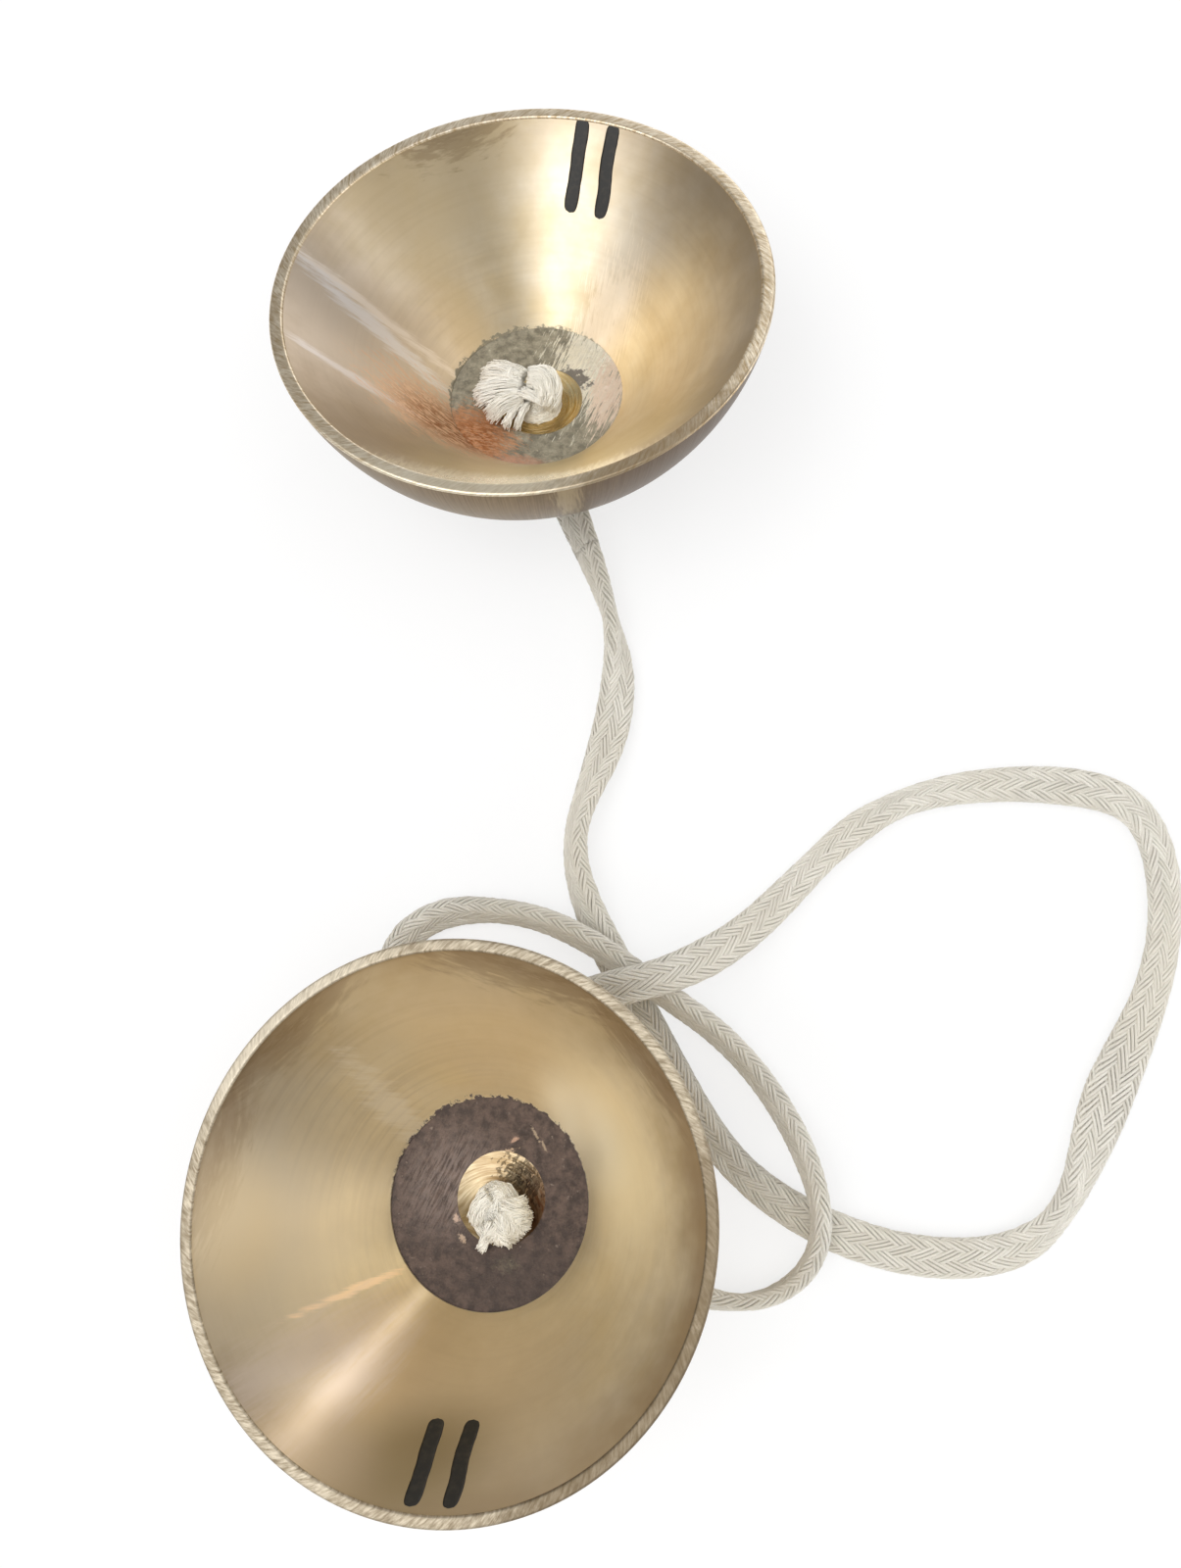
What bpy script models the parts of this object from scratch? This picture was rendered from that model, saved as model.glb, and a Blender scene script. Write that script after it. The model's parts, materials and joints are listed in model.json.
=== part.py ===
"""A pair of small hand cymbals on one cotton cord, lying on a table with their mouths up.

Each cymbal is a thick cup: turned to a cone inside, left as cast on its floor, domed outside.
The cord comes up through a hole in the crown and is held inside the cup by a stopper knot.
A cup rocks on its dome and leans away from the cord, because its crown rests on it.

Units are metres. Up is +Z, and the table is the plane z = 0. Right in a view from above is +X.
The origin is on the table, under the middle of the box round the two cups.
"""

import math

import bmesh
import bpy
import numpy as np
from mathutils import Matrix, Vector

# Cup, the same for both
CUP_RADIUS = 0.0315
RIM_LAND = 0.0015
RIM_OUTER_EDGE = 0.0003
RIM_INNER_EDGE = 0.0003
WALL_LEAN = math.radians(12.0)
BAND_HEIGHT = 0.0006
DOME_RADIUS = 0.0305
FLOOR_RADIUS = 0.0124
FLOOR_STEP = 0.0003
FLOOR_DISH = 0.0003
HOLE_RADIUS = 0.0030
HOLE_WALL = 0.0011
SINK_RADIUS = 0.0057
SINK_DEPTH = 0.0010
FLARE_RADIUS = 0.0055
FLARE_DEPTH = 0.0012
CUP_STEPS = 64
DOME_STEPS = 12
CONE_STEPS = 3

# How each cup lies: where its dome meets the table, how far it leans, and which way
UPPER_CONTACT = (0.0029, 0.0592)
UPPER_LEAN = math.radians(16.5)
UPPER_HEADING = math.radians(105.0)
LOWER_CONTACT = (-0.0072, -0.0540)
LOWER_LEAN = math.radians(14.5)
LOWER_HEADING = math.radians(158.0)

# Stopper knot with its tuft, and the cord in the hole under it
GAP = 0.0003
NECK_CLEARANCE = 0.0004
UPPER_KNOT_OVERHANG = 0.0019
LOWER_KNOT_OVERHANG = 0.0010
KNOT_HEIGHT = 0.0056
KNOT_STEPS = 28
TUFT_LOBES = 5
TUFT_LOBING = 0.09
UPPER_TUFT_LEAN = 0.0020
LOWER_TUFT_LEAN = 0.0013

# Cord, a flat braid drawn as a round tube of the same area
CORD_RADIUS = 0.0017
CORD_POINTS = 78
CORD_SIDES = 2
SQUEEZED_LAP = 0.0012
SQUEEZED_SHARE = 0.55

# How far the cord's curve evens out the long and short steps between its points
ROUTE_EASE = 0.75
MERGE_DISTANCE = 1e-6

# The cord's middle, from under the upper cup to under the lower one
ROUTE = (
    (0.0074, 0.0425, 0.0017),
    (0.0143, 0.0236, 0.0017),
    (0.0161, 0.0113, 0.0017),
    (0.0134, -0.0001, 0.0017),
    (0.0106, -0.0086, 0.0017),
    (0.0114, -0.0162, 0.0017),
    (0.0155, -0.0254, 0.0017),
    (0.0222, -0.0381, 0.0017),
    (0.0311, -0.0514, 0.0017),
    (0.0443, -0.0598, 0.0017),
    (0.0572, -0.0626, 0.0017),
    (0.0684, -0.0602, 0.0017),
    (0.0751, -0.0514, 0.0017),
    (0.0790, -0.0422, 0.0017),
    (0.0848, -0.0304, 0.0017),
    (0.0877, -0.0171, 0.0017),
    (0.0848, -0.0060, 0.0017),
    (0.0746, -0.0023, 0.0017),
    (0.0530, -0.0050, 0.0017),
    (0.0431, -0.0118, 0.0018),
    (0.0344, -0.0202, 0.0036),
    (0.0268, -0.0254, 0.0074),
    (0.0197, -0.0282, 0.0098),
    (0.0122, -0.0301, 0.0076),
    (-0.0038, -0.0354, 0.0017),
    (-0.0116, -0.0318, 0.0017),
    (-0.0127, -0.0247, 0.0017),
    (-0.0082, -0.0200, 0.0017),
    (-0.0006, -0.0189, 0.0023),
    (0.0071, -0.0206, 0.0042),
    (0.0149, -0.0248, 0.0058),
    (0.0211, -0.0293, 0.0056),
    (0.0291, -0.0350, 0.0027),
    (0.0369, -0.0445, 0.0022),
    (0.0405, -0.0535, 0.0052),
    (0.0409, -0.0591, 0.0056),
    (0.0382, -0.0651, 0.0029),
    (0.0314, -0.0678, 0.0017),
    (0.0169, -0.0637, 0.0017),
    (0.0088, -0.0605, 0.0017),
)

# Worked out from the values above. Heights in a cup are along its axis, from the plane that
# its dome touches.
BAND_FOOT_RADIUS = CUP_RADIUS - BAND_HEIGHT * math.tan(WALL_LEAN)
DOME_OFFSET = BAND_FOOT_RADIUS - DOME_RADIUS * math.cos(WALL_LEAN)
CUP_HEIGHT = DOME_RADIUS * (1.0 - math.sin(WALL_LEAN)) + BAND_HEIGHT
FLARE_FOOT = DOME_RADIUS - math.sqrt(DOME_RADIUS**2 - (FLARE_RADIUS - DOME_OFFSET) ** 2)
FLARE_TOP = FLARE_FOOT + FLARE_DEPTH
SINK_FOOT = FLARE_TOP + HOLE_WALL
FLOOR_HEIGHT = SINK_FOOT + SINK_DEPTH
MOUTH_RADIUS = CUP_RADIUS - RIM_LAND
NECK_RADIUS = HOLE_RADIUS - NECK_CLEARANCE
NECK_END = FLARE_TOP + GAP


def clear_scene():
    """Removes whatever the scene holds."""
    for obj in list(bpy.data.objects):
        bpy.data.objects.remove(obj, do_unlink=True)


def make_material(name, colour, roughness, metallic):
    """A plain Principled material."""
    material = bpy.data.materials.new(name)
    material.use_nodes = True
    shader = material.node_tree.nodes["Principled BSDF"]
    shader.inputs["Base Color"].default_value = (*colour, 1.0)
    shader.inputs["Roughness"].default_value = roughness
    shader.inputs["Metallic"].default_value = metallic
    material.diffuse_color = (*colour, 1.0)
    return material


def add_object(name, data, collection, parent=None):
    """Links a new object to the collection and hangs it on its parent."""
    obj = bpy.data.objects.new(name, data)
    collection.objects.link(obj)
    obj.parent = parent
    return obj


def turned_object(name, points, closed, steps, material, collection, rocker):
    """A profile of (radius, height) points turned round the axis of a cup."""
    mesh = bpy.data.meshes.new(name)
    outline = bmesh.new()
    verts = [outline.verts.new((radius, 0.0, height)) for radius, height in points]
    for first, second in zip(verts, verts[1:]):
        outline.edges.new((first, second))
    if closed:
        outline.edges.new((verts[-1], verts[0]))
    outline.to_mesh(mesh)
    outline.free()
    mesh.materials.append(material)
    obj = add_object(name, mesh, collection, rocker)
    obj.location = (-DOME_OFFSET, 0.0, -DOME_RADIUS)
    turn = obj.modifiers.new("turned", "SCREW")
    turn.axis = "Z"
    turn.steps = steps
    turn.render_steps = steps
    turn.use_merge_vertices = True
    turn.merge_threshold = MERGE_DISTANCE
    turn.use_smooth_shade = True
    weld = obj.modifiers.new("joined on the axis", "WELD")
    weld.merge_threshold = MERGE_DISTANCE
    return obj


def arc(centre, radius, start, end, count):
    """Points on a circle in the profile, from one angle to another, both ends included."""
    angles = (start + (end - start) * i / (count - 1) for i in range(count))
    return [
        (centre[0] + radius * math.cos(angle), centre[1] + radius * math.sin(angle))
        for angle in angles
    ]


def rim_profile():
    """The flat land of the rim, from its inner edge to its outer one, both eased."""
    inner_middle = (MOUTH_RADIUS + RIM_INNER_EDGE, CUP_HEIGHT - RIM_INNER_EDGE)
    outer_inset = RIM_OUTER_EDGE * math.tan((math.pi / 2 + WALL_LEAN) / 2)
    outer_middle = (CUP_RADIUS - outer_inset, CUP_HEIGHT - RIM_OUTER_EDGE)
    inner = arc(inner_middle, RIM_INNER_EDGE, math.pi, math.pi / 2, 3)
    outer = arc(outer_middle, RIM_OUTER_EDGE, math.pi / 2, -WALL_LEAN, 4)
    return inner + outer


def outside_profile():
    """The outside, from the foot of the band under the rim to the flare round the hole."""
    flare_angle = math.asin((FLARE_RADIUS - DOME_OFFSET) / DOME_RADIUS) - math.pi / 2
    middle = (DOME_OFFSET, DOME_RADIUS)
    dome = arc(middle, DOME_RADIUS, -WALL_LEAN, flare_angle, DOME_STEPS)
    return dome + [(HOLE_RADIUS, FLARE_TOP)]


def inside_profile():
    """The inside, from the hole up over the cast floor and the turned cone to the mouth."""
    cone_foot = FLOOR_HEIGHT + FLOOR_STEP
    rise = CUP_HEIGHT - RIM_INNER_EDGE - cone_foot
    run = MOUTH_RADIUS - FLOOR_RADIUS
    floor = [
        (HOLE_RADIUS, SINK_FOOT),
        (SINK_RADIUS, FLOOR_HEIGHT),
        ((SINK_RADIUS + FLOOR_RADIUS) / 2, FLOOR_HEIGHT - FLOOR_DISH),
        (FLOOR_RADIUS, FLOOR_HEIGHT),
    ]
    shares = (i / CONE_STEPS for i in range(CONE_STEPS))
    cone = [(FLOOR_RADIUS + run * share, cone_foot + rise * share) for share in shares]
    return floor + cone


def make_cup(name, material, collection, rocker):
    """One cymbal, its origin on its own axis."""
    points = rim_profile() + outside_profile() + inside_profile()
    return turned_object(name, points, True, CUP_STEPS, material, collection, rocker)


def knot_profile(overhang):
    """The stopper knot, from its top down its outer side to the cord's end in the hole."""
    radius = HOLE_RADIUS + overhang
    low = FLOOR_HEIGHT + GAP
    middle = (low + FLOOR_HEIGHT + KNOT_HEIGHT) / 2
    half = KNOT_HEIGHT - (middle - FLOOR_HEIGHT)
    ball = arc((0.0, 0.0), 1.0, math.pi / 2, -math.pi / 3, 10)
    knot = [(max(radius * x, 0.0), middle + half * z) for x, z in ball]
    neck = [(NECK_RADIUS, SINK_FOOT + GAP), (NECK_RADIUS, NECK_END), (0.0, NECK_END)]
    return knot + neck


def shape_tuft(mesh, lean):
    """Pinches the tuft into lobes and bends it over, the more the higher up it is."""
    for vert in mesh.vertices:
        share = (vert.co.z - FLOOR_HEIGHT - GAP) / (KNOT_HEIGHT - GAP)
        if share <= 0.0:
            continue
        angle = math.atan2(vert.co.y, vert.co.x)
        pinch = 1.0 - TUFT_LOBING * share * (1.0 + math.cos(TUFT_LOBES * angle + 4.0 * share))
        vert.co.x *= pinch
        vert.co.y = vert.co.y * pinch + lean * share


def make_knot(name, overhang, lean, material, collection, rocker):
    """The stopper knot and its tuft, with the cord that fills the hole under them."""
    points = knot_profile(overhang)
    knot = turned_object(name, points, False, KNOT_STEPS, material, collection, rocker)
    seen = knot.evaluated_get(bpy.context.evaluated_depsgraph_get())
    mesh = bpy.data.meshes.new_from_object(seen)
    mesh.name = name
    knot.modifiers.clear()
    knot.data = mesh
    shape_tuft(mesh, lean)
    return knot


def cup_frame(contact, lean, heading):
    """The matrix of a cup's rocking point: +Z along the cup's axis, +X down its low side."""
    place = Matrix.Translation((*contact, DOME_RADIUS))
    return place @ Matrix.Rotation(heading, 4, "Z") @ Matrix.Rotation(lean, 4, "Y")


def add_rocker(name, frame, collection, parent):
    """An empty at the middle of a cup's dome, about which the cup rocks on the table."""
    rocker = add_object(name, None, collection, parent)
    rocker.empty_display_size = DOME_RADIUS / 3
    rocker.matrix_basis = frame
    return rocker


def smooth_route(points, count):
    """Evenly spaced points on a natural cubic curve through the route's points."""
    route = np.array(points)
    steps = np.linalg.norm(np.diff(route, axis=0), axis=1) ** ROUTE_EASE
    knots = np.concatenate([[0.0], np.cumsum(steps)])
    size = len(route)
    system = np.eye(size)
    slopes = np.zeros((size, 3))
    for i in range(1, size - 1):
        system[i, i - 1] = steps[i - 1]
        system[i, i] = 2.0 * (steps[i - 1] + steps[i])
        system[i, i + 1] = steps[i]
        after = (route[i + 1] - route[i]) / steps[i]
        before = (route[i] - route[i - 1]) / steps[i - 1]
        slopes[i] = 6.0 * (after - before)
    bend = np.linalg.solve(system, slopes)
    at = np.linspace(0.0, knots[-1], 20 * count)
    span = np.clip(np.searchsorted(knots, at, side="right") - 1, 0, size - 2)
    width = steps[span][:, None]
    low = (knots[span + 1] - at)[:, None]
    high = (at - knots[span])[:, None]
    curve = (
        bend[span] * low**3 / (6.0 * width)
        + bend[span + 1] * high**3 / (6.0 * width)
        + (route[span] / width - bend[span] * width / 6.0) * low
        + (route[span + 1] / width - bend[span + 1] * width / 6.0) * high
    )
    strides = np.linalg.norm(np.diff(curve, axis=0), axis=1)
    along = np.concatenate([[0.0], np.cumsum(strides)])
    even = np.linspace(0.0, along[-1], count)
    return np.stack([np.interp(even, along, curve[:, k]) for k in range(3)], axis=1)


def make_tube(name, points, radii, material, collection, parent):
    """A round cord along the points, with filled ends and a radius at each point."""
    curve = bpy.data.curves.new(name, "CURVE")
    curve.dimensions = "3D"
    curve.bevel_depth = 1.0
    curve.bevel_resolution = CORD_SIDES
    curve.use_fill_caps = True
    spline = curve.splines.new("POLY")
    spline.points.add(len(points) - 1)
    for point, place, radius in zip(spline.points, points, radii):
        point.co = (*place, 1.0)
        point.radius = radius
    curve.materials.append(material)
    return add_object(name, curve, collection, parent)


def make_cord(material, collection, parent):
    """The free cord, which never sinks into the table."""
    points = smooth_route(ROUTE, CORD_POINTS)
    points[:, 2] = np.maximum(points[:, 2], CORD_RADIUS)
    radii = [CORD_RADIUS] * len(points)
    return make_tube("cord", points, radii, material, collection, parent)


def make_cord_end(name, frame, lean, meeting, material, collection, parent):
    """The stretch of cord on the table under a cup's crown, squeezed flat by the cup."""
    neck_end = frame @ Vector((-DOME_OFFSET, 0.0, NECK_END - DOME_RADIUS))
    lowest = neck_end.z - SQUEEZED_LAP * math.sin(lean)
    squeezed = (lowest - GAP) / 2
    under = Vector((neck_end.x, neck_end.y, 0.0))
    outer = Vector((meeting[0], meeting[1], 0.0))
    way = (outer - under).normalized()
    stop = outer - way * GAP
    start = under - way * SQUEEZED_LAP
    flat_end = under.lerp(outer, SQUEEZED_SHARE)
    points = [start, under, flat_end, flat_end.lerp(stop, 0.5), stop]
    radii = [squeezed, squeezed, squeezed, (squeezed + CORD_RADIUS) / 2, CORD_RADIUS]
    for point, radius in zip(points, radii):
        point.z = radius
    return make_tube(name, points, radii, material, collection, parent)


def main():
    """Builds the pair."""
    clear_scene()
    collection = bpy.data.collections.new("manjira")
    bpy.context.scene.collection.children.link(collection)
    bell_metal = make_material("bell metal", (0.62, 0.48, 0.29), 0.35, 1.0)
    braid = make_material("cotton braid", (0.72, 0.68, 0.58), 0.9, 0.0)
    fluff = make_material("cotton tuft", (0.80, 0.79, 0.74), 0.95, 0.0)
    table = add_object("on_the_table", None, collection)

    lies = {
        "upper": (UPPER_CONTACT, UPPER_LEAN, UPPER_HEADING),
        "lower": (LOWER_CONTACT, LOWER_LEAN, LOWER_HEADING),
    }
    tufts = {
        "upper": (UPPER_KNOT_OVERHANG, UPPER_TUFT_LEAN),
        "lower": (LOWER_KNOT_OVERHANG, LOWER_TUFT_LEAN),
    }
    meetings = {"upper": ROUTE[0], "lower": ROUTE[-1]}
    for side, (contact, lean, heading) in lies.items():
        frame = cup_frame(contact, lean, heading)
        rocker = add_rocker(side + "_rocker", frame, collection, table)
        make_cup(side + "_cup", bell_metal, collection, rocker)
        make_knot(side + "_knot", *tufts[side], fluff, collection, rocker)
        name = side + "_cord_end"
        make_cord_end(name, frame, lean, meetings[side], braid, collection, table)
    make_cord(braid, collection, table)


main()
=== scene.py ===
"""Looks of a manjira: two thick bell-metal cups, joined by one flat cotton braid.

Each cup has a frame of its own, in which its marks are placed: +Z is the cup's axis, +X points
right and +Y up in the picture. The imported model's spin joints say where that frame stands.
"""

import json
import logging
import math
from dataclasses import dataclass
from enum import Enum
from functools import partial
from typing import Any

import bpy
import numpy as np
from mathutils import Matrix, Vector


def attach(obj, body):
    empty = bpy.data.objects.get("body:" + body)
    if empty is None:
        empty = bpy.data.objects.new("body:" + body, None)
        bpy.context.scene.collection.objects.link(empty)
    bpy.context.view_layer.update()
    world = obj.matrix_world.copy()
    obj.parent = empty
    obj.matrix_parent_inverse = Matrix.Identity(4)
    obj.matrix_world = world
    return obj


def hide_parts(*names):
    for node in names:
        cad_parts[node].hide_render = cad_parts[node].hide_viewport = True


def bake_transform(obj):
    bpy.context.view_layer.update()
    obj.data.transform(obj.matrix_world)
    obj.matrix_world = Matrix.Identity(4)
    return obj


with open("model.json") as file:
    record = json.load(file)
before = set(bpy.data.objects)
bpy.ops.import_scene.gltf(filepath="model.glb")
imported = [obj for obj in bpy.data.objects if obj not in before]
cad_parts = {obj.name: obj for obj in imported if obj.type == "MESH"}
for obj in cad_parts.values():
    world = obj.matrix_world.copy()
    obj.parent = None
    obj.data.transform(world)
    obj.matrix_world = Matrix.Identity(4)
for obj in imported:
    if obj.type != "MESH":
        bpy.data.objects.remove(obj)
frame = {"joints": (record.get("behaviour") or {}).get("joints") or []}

LOG = logging.getLogger("manjira")
MM = 0.001
PICTURE_HEIGHT = 1600
SEED = 7

# The radius of the rim's filed land in millimetres, on which strokes are laid out
RIM_MIDDLE = 31.0

# What leaves only the level part of a place
FLAT = (1.0, 1.0, 0.0)
ORIGIN = (0.0, 0.0, 0.0)
# Off the upright by a little, so that a fibre which stands up has a side too
NEARLY_UP = (0.01, 0.01, 1.0)
WHITE = 0xFFFFFF

Socket = bpy.types.NodeSocket
Value = Socket | float

# The middle of the cord's free stretch, from the upper cup to the lower one, in metres
ROUTE = (
    (0.0074, 0.0425, 0.0017),
    (0.0143, 0.0236, 0.0017),
    (0.0161, 0.0113, 0.0017),
    (0.0134, -0.0001, 0.0017),
    (0.0106, -0.0086, 0.0017),
    (0.0114, -0.0162, 0.0017),
    (0.0155, -0.0254, 0.0017),
    (0.0222, -0.0381, 0.0017),
    (0.0311, -0.0514, 0.0017),
    (0.0443, -0.0598, 0.0017),
    (0.0572, -0.0626, 0.0017),
    (0.0684, -0.0602, 0.0017),
    (0.0751, -0.0514, 0.0017),
    (0.0790, -0.0422, 0.0017),
    (0.0848, -0.0304, 0.0017),
    (0.0877, -0.0171, 0.0017),
    (0.0848, -0.0060, 0.0017),
    (0.0746, -0.0023, 0.0017),
    (0.0530, -0.0050, 0.0017),
    (0.0431, -0.0118, 0.0018),
    (0.0344, -0.0202, 0.0036),
    (0.0268, -0.0254, 0.0074),
    (0.0197, -0.0282, 0.0098),
    (0.0122, -0.0301, 0.0076),
    (-0.0038, -0.0354, 0.0017),
    (-0.0116, -0.0318, 0.0017),
    (-0.0127, -0.0247, 0.0017),
    (-0.0082, -0.0200, 0.0017),
    (-0.0006, -0.0189, 0.0023),
    (0.0071, -0.0206, 0.0042),
    (0.0149, -0.0248, 0.0058),
    (0.0211, -0.0293, 0.0056),
    (0.0291, -0.0350, 0.0027),
    (0.0369, -0.0445, 0.0022),
    (0.0405, -0.0535, 0.0052),
    (0.0409, -0.0591, 0.0056),
    (0.0382, -0.0651, 0.0029),
    (0.0314, -0.0678, 0.0017),
    (0.0169, -0.0637, 0.0017),
    (0.0088, -0.0605, 0.0017),
)


class Side(Enum):
    """The two cups, named as they lie in the picture."""

    UPPER = "upper"
    LOWER = "lower"


class Zone(Enum):
    """The surfaces of a cup, in the order of its material slots."""

    TURNED = 0
    CAST = 1
    SINK = 2
    RIM = 3
    OUTSIDE = 4


def linear(colour: int, alpha: float = 1.0) -> tuple[float, float, float, float]:
    """Turns an sRGB colour into the linear one that shaders take.

    Args:
        colour: The colour as 0xRRGGBB.
        alpha: Its opacity.

    Returns:
        Red, green, blue and alpha, from 0 to 1.
    """
    parts = [((colour >> shift) & 0xFF) / 255.0 for shift in (16, 8, 0)]
    red, green, blue = (
        c / 12.92 if c <= 0.04045 else ((c + 0.055) / 1.055) ** 2.4 for c in parts
    )
    return red, green, blue, alpha


@dataclass(frozen=True)
class Shading:
    """A node tree in the making, with the nodes that the finishes share."""

    tree: bpy.types.NodeTree

    def add(
        self,
        kind: str,
        inputs: dict[int | str, Any] | None = None,
        settings: dict[str, Any] | None = None,
        out: int | str = 0,
    ) -> Socket | None:
        """Adds a node with its settings and links.

        Args:
            kind: The node's type.
            inputs: For each input, by number or name, a socket to link or a value to set.
            settings: Values of the node's own properties.
            out: The output to hand back, by number or name.

        Returns:
            That output, or None where the node has no outputs.
        """
        node = self.tree.nodes.new(kind)
        for name, value in (settings or {}).items():
            setattr(node, name, value)
        for name, value in (inputs or {}).items():
            if isinstance(value, Socket):
                self.tree.links.new(value, node.inputs[name])
            else:
                node.inputs[name].default_value = value
        return node.outputs[out] if node.outputs else None

    def place(self) -> Socket:
        """Each point's place in its piece's own frame."""
        return self.add("ShaderNodeTexCoord", out="Object")

    def math(self, operation: str, *values: Value) -> Socket:
        """Works out a sum on numbers."""
        inputs = dict(enumerate(values))
        return self.add("ShaderNodeMath", inputs, {"operation": operation})

    def vector(self, operation: str, *values: Any, out: int | str = 0) -> Socket:
        """Works out a sum on vectors."""
        inputs = dict(enumerate(values))
        return self.add("ShaderNodeVectorMath", inputs, {"operation": operation}, out)

    def noise(self, place: Socket, size: float, detail: float, roughness: float) -> Socket:
        """Adds clouds of about this size, in the place's own units."""
        inputs = {"Vector": place, "Scale": 1.0 / size, "Detail": detail, "Roughness": roughness}
        return self.add("ShaderNodeTexNoise", inputs)

    def remap(
        self,
        value: Socket,
        low: float,
        high: float,
        to_low: Value = 0.0,
        to_high: Value = 1.0,
        smooth: bool = False,
    ) -> Socket:
        """Moves a value from one range to another, and holds it at both ends.

        Args:
            value: The value.
            low: What turns into to_low.
            high: What turns into to_high.
            to_low: The result at low.
            to_high: The result at high.
            smooth: Whether it eases in and out.

        Returns:
            The result.
        """
        ends = {"From Min": low, "From Max": high, "To Min": to_low, "To Max": to_high}
        kind = "SMOOTHSTEP" if smooth else "LINEAR"
        settings = {"interpolation_type": kind}
        return self.add("ShaderNodeMapRange", {"Value": value, **ends}, settings)

    def mix(self, share: Value, under: Socket | int, over: Socket | int) -> Socket:
        """Lays one colour over another, each a socket or 0xRRGGBB."""
        low, high = (c if isinstance(c, Socket) else linear(c) for c in (under, over))
        settings = {"data_type": "RGBA"}
        return self.add("ShaderNodeMix", {0: share, 6: low, 7: high}, settings, 2)

    def fade(self, share: Value, under: Value, over: Value) -> Socket:
        """Goes from one number to another."""
        return self.add("ShaderNodeMix", {0: share, 2: under, 3: over})

    def laid(
        self,
        place: Socket,
        middle: tuple[float, float, float],
        turn: float,
        size: tuple[float, float, float],
    ) -> Socket:
        """The place as a moved, turned and stretched frame has it.

        Args:
            place: The place in the frame outside.
            middle: Where the new frame stands.
            turn: Its turn in degrees.
            size: The length of one unit along each of its axes.

        Returns:
            The place in the new frame.
        """
        rotation = (0.0, 0.0, math.radians(turn))
        inputs = {"Vector": place, "Location": middle, "Rotation": rotation, "Scale": size}
        return self.add("ShaderNodeMapping", inputs, {"vector_type": "TEXTURE"})

    def facing(self, heading: Socket, towards: float) -> Socket:
        """How far a heading points towards a turn in degrees, from -1 to 1."""
        turn = math.radians(towards)
        way = (math.cos(turn), math.sin(turn), 0.0)
        return self.vector("DOT_PRODUCT", heading, way, out="Value")

    def bump(self, height: Socket, strength: float, depth: float) -> Socket:
        """Lets a height from 0 to 1 stand out as far as the depth in millimetres."""
        inputs = {"Height": height, "Strength": strength, "Distance": depth * MM}
        return self.add("ShaderNodeBump", inputs)


def new_material(name: str) -> tuple[bpy.types.Material, Shading]:
    """Makes an empty node material.

    Args:
        name: The material's name.

    Returns:
        The material and its tree.
    """
    material = bpy.data.materials.new(name)
    material.use_nodes = True
    material.node_tree.nodes.clear()
    return material, Shading(material.node_tree)


def grid_quads(index: np.ndarray, flip: bool = False) -> np.ndarray:
    """The faces between neighbours in a grid of points.

    Args:
        index: The points' numbers, in rows and columns.
        flip: Whether the faces look the other way.

    Returns:
        The corners of each face, one row each.
    """
    corners = [index[:-1, :-1], index[:-1, 1:], index[1:, 1:], index[1:, :-1]]
    if flip:
        corners[1], corners[3] = corners[3], corners[1]
    return np.stack(corners, axis=-1).reshape(-1, 4)


def mesh_object(
    name: str,
    verts: np.ndarray,
    faces: list[tuple[int, ...]] | np.ndarray,
    place: Matrix | None = None,
) -> bpy.types.Object:
    """Makes a smooth-shaded mesh object.

    Args:
        name: The piece's name.
        verts: The points, one row each.
        faces: The corners of each face.
        place: The object's matrix, or None for the row frame.

    Returns:
        The new object, linked to the scene.
    """
    mesh = bpy.data.meshes.new(name)
    rows = faces.tolist() if isinstance(faces, np.ndarray) else faces
    mesh.from_pydata(verts.tolist(), [], rows)
    mesh.shade_smooth()
    mesh.validate()
    obj = bpy.data.objects.new(name, mesh)
    bpy.context.scene.collection.objects.link(obj)
    if place is not None:
        obj.matrix_world = place
    return obj


def tubes_object(
    name: str, tubes: list[np.ndarray], shades: list[float], place: Matrix | None = None
) -> bpy.types.Object:
    """Joins many tubes into one mesh, each closed at both ends.

    Args:
        name: The piece's name.
        tubes: For each tube an array of (ring, point round it, xyz).
        shades: A number for each tube, kept in the mesh attribute "shade".
        place: The object's matrix, or None for the row frame.

    Returns:
        The new object.
    """
    verts, faces, tones = [], [], []
    start = 0
    for tube, shade in zip(tubes, shades):
        rings, around = tube.shape[:2]
        index = start + np.arange(rings * around).reshape(rings, around)
        closed = np.pad(index, ((0, 0), (0, 1)), mode="wrap")
        faces.extend(grid_quads(closed).tolist())
        faces.append(index[0][::-1].tolist())
        faces.append(index[-1].tolist())
        verts.append(tube.reshape(-1, 3))
        tones.append(np.full(rings * around, shade, np.float32))
        start += rings * around
    obj = mesh_object(name, np.concatenate(verts), faces, place)
    attribute = obj.data.attributes.new("shade", "FLOAT", "POINT")
    attribute.data.foreach_set("value", np.concatenate(tones))
    return obj


def normalised(rows: np.ndarray) -> np.ndarray:
    """Scales each row to length one."""
    return rows / np.linalg.norm(rows, axis=-1, keepdims=True)


def sweep(
    centres: np.ndarray, out: np.ndarray, wide: float, high: float, sides: int
) -> np.ndarray:
    """Sweeps an oval along a line.

    Args:
        centres: The line's points.
        out: At each point, the direction of the oval's height.
        wide: Half the oval's width.
        high: Half its height.
        sides: How many points go round it.

    Returns:
        An array of (ring, point round it, xyz).
    """
    along = normalised(np.gradient(centres, axis=0))
    across = normalised(np.cross(along, out))
    upright = np.cross(across, along)
    turn = np.arange(sides) * 2.0 * math.pi / sides
    return (
        centres[:, None]
        + across[:, None] * (wide * np.cos(turn))[None, :, None]
        + upright[:, None] * (high * np.sin(turn))[None, :, None]
    )


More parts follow.
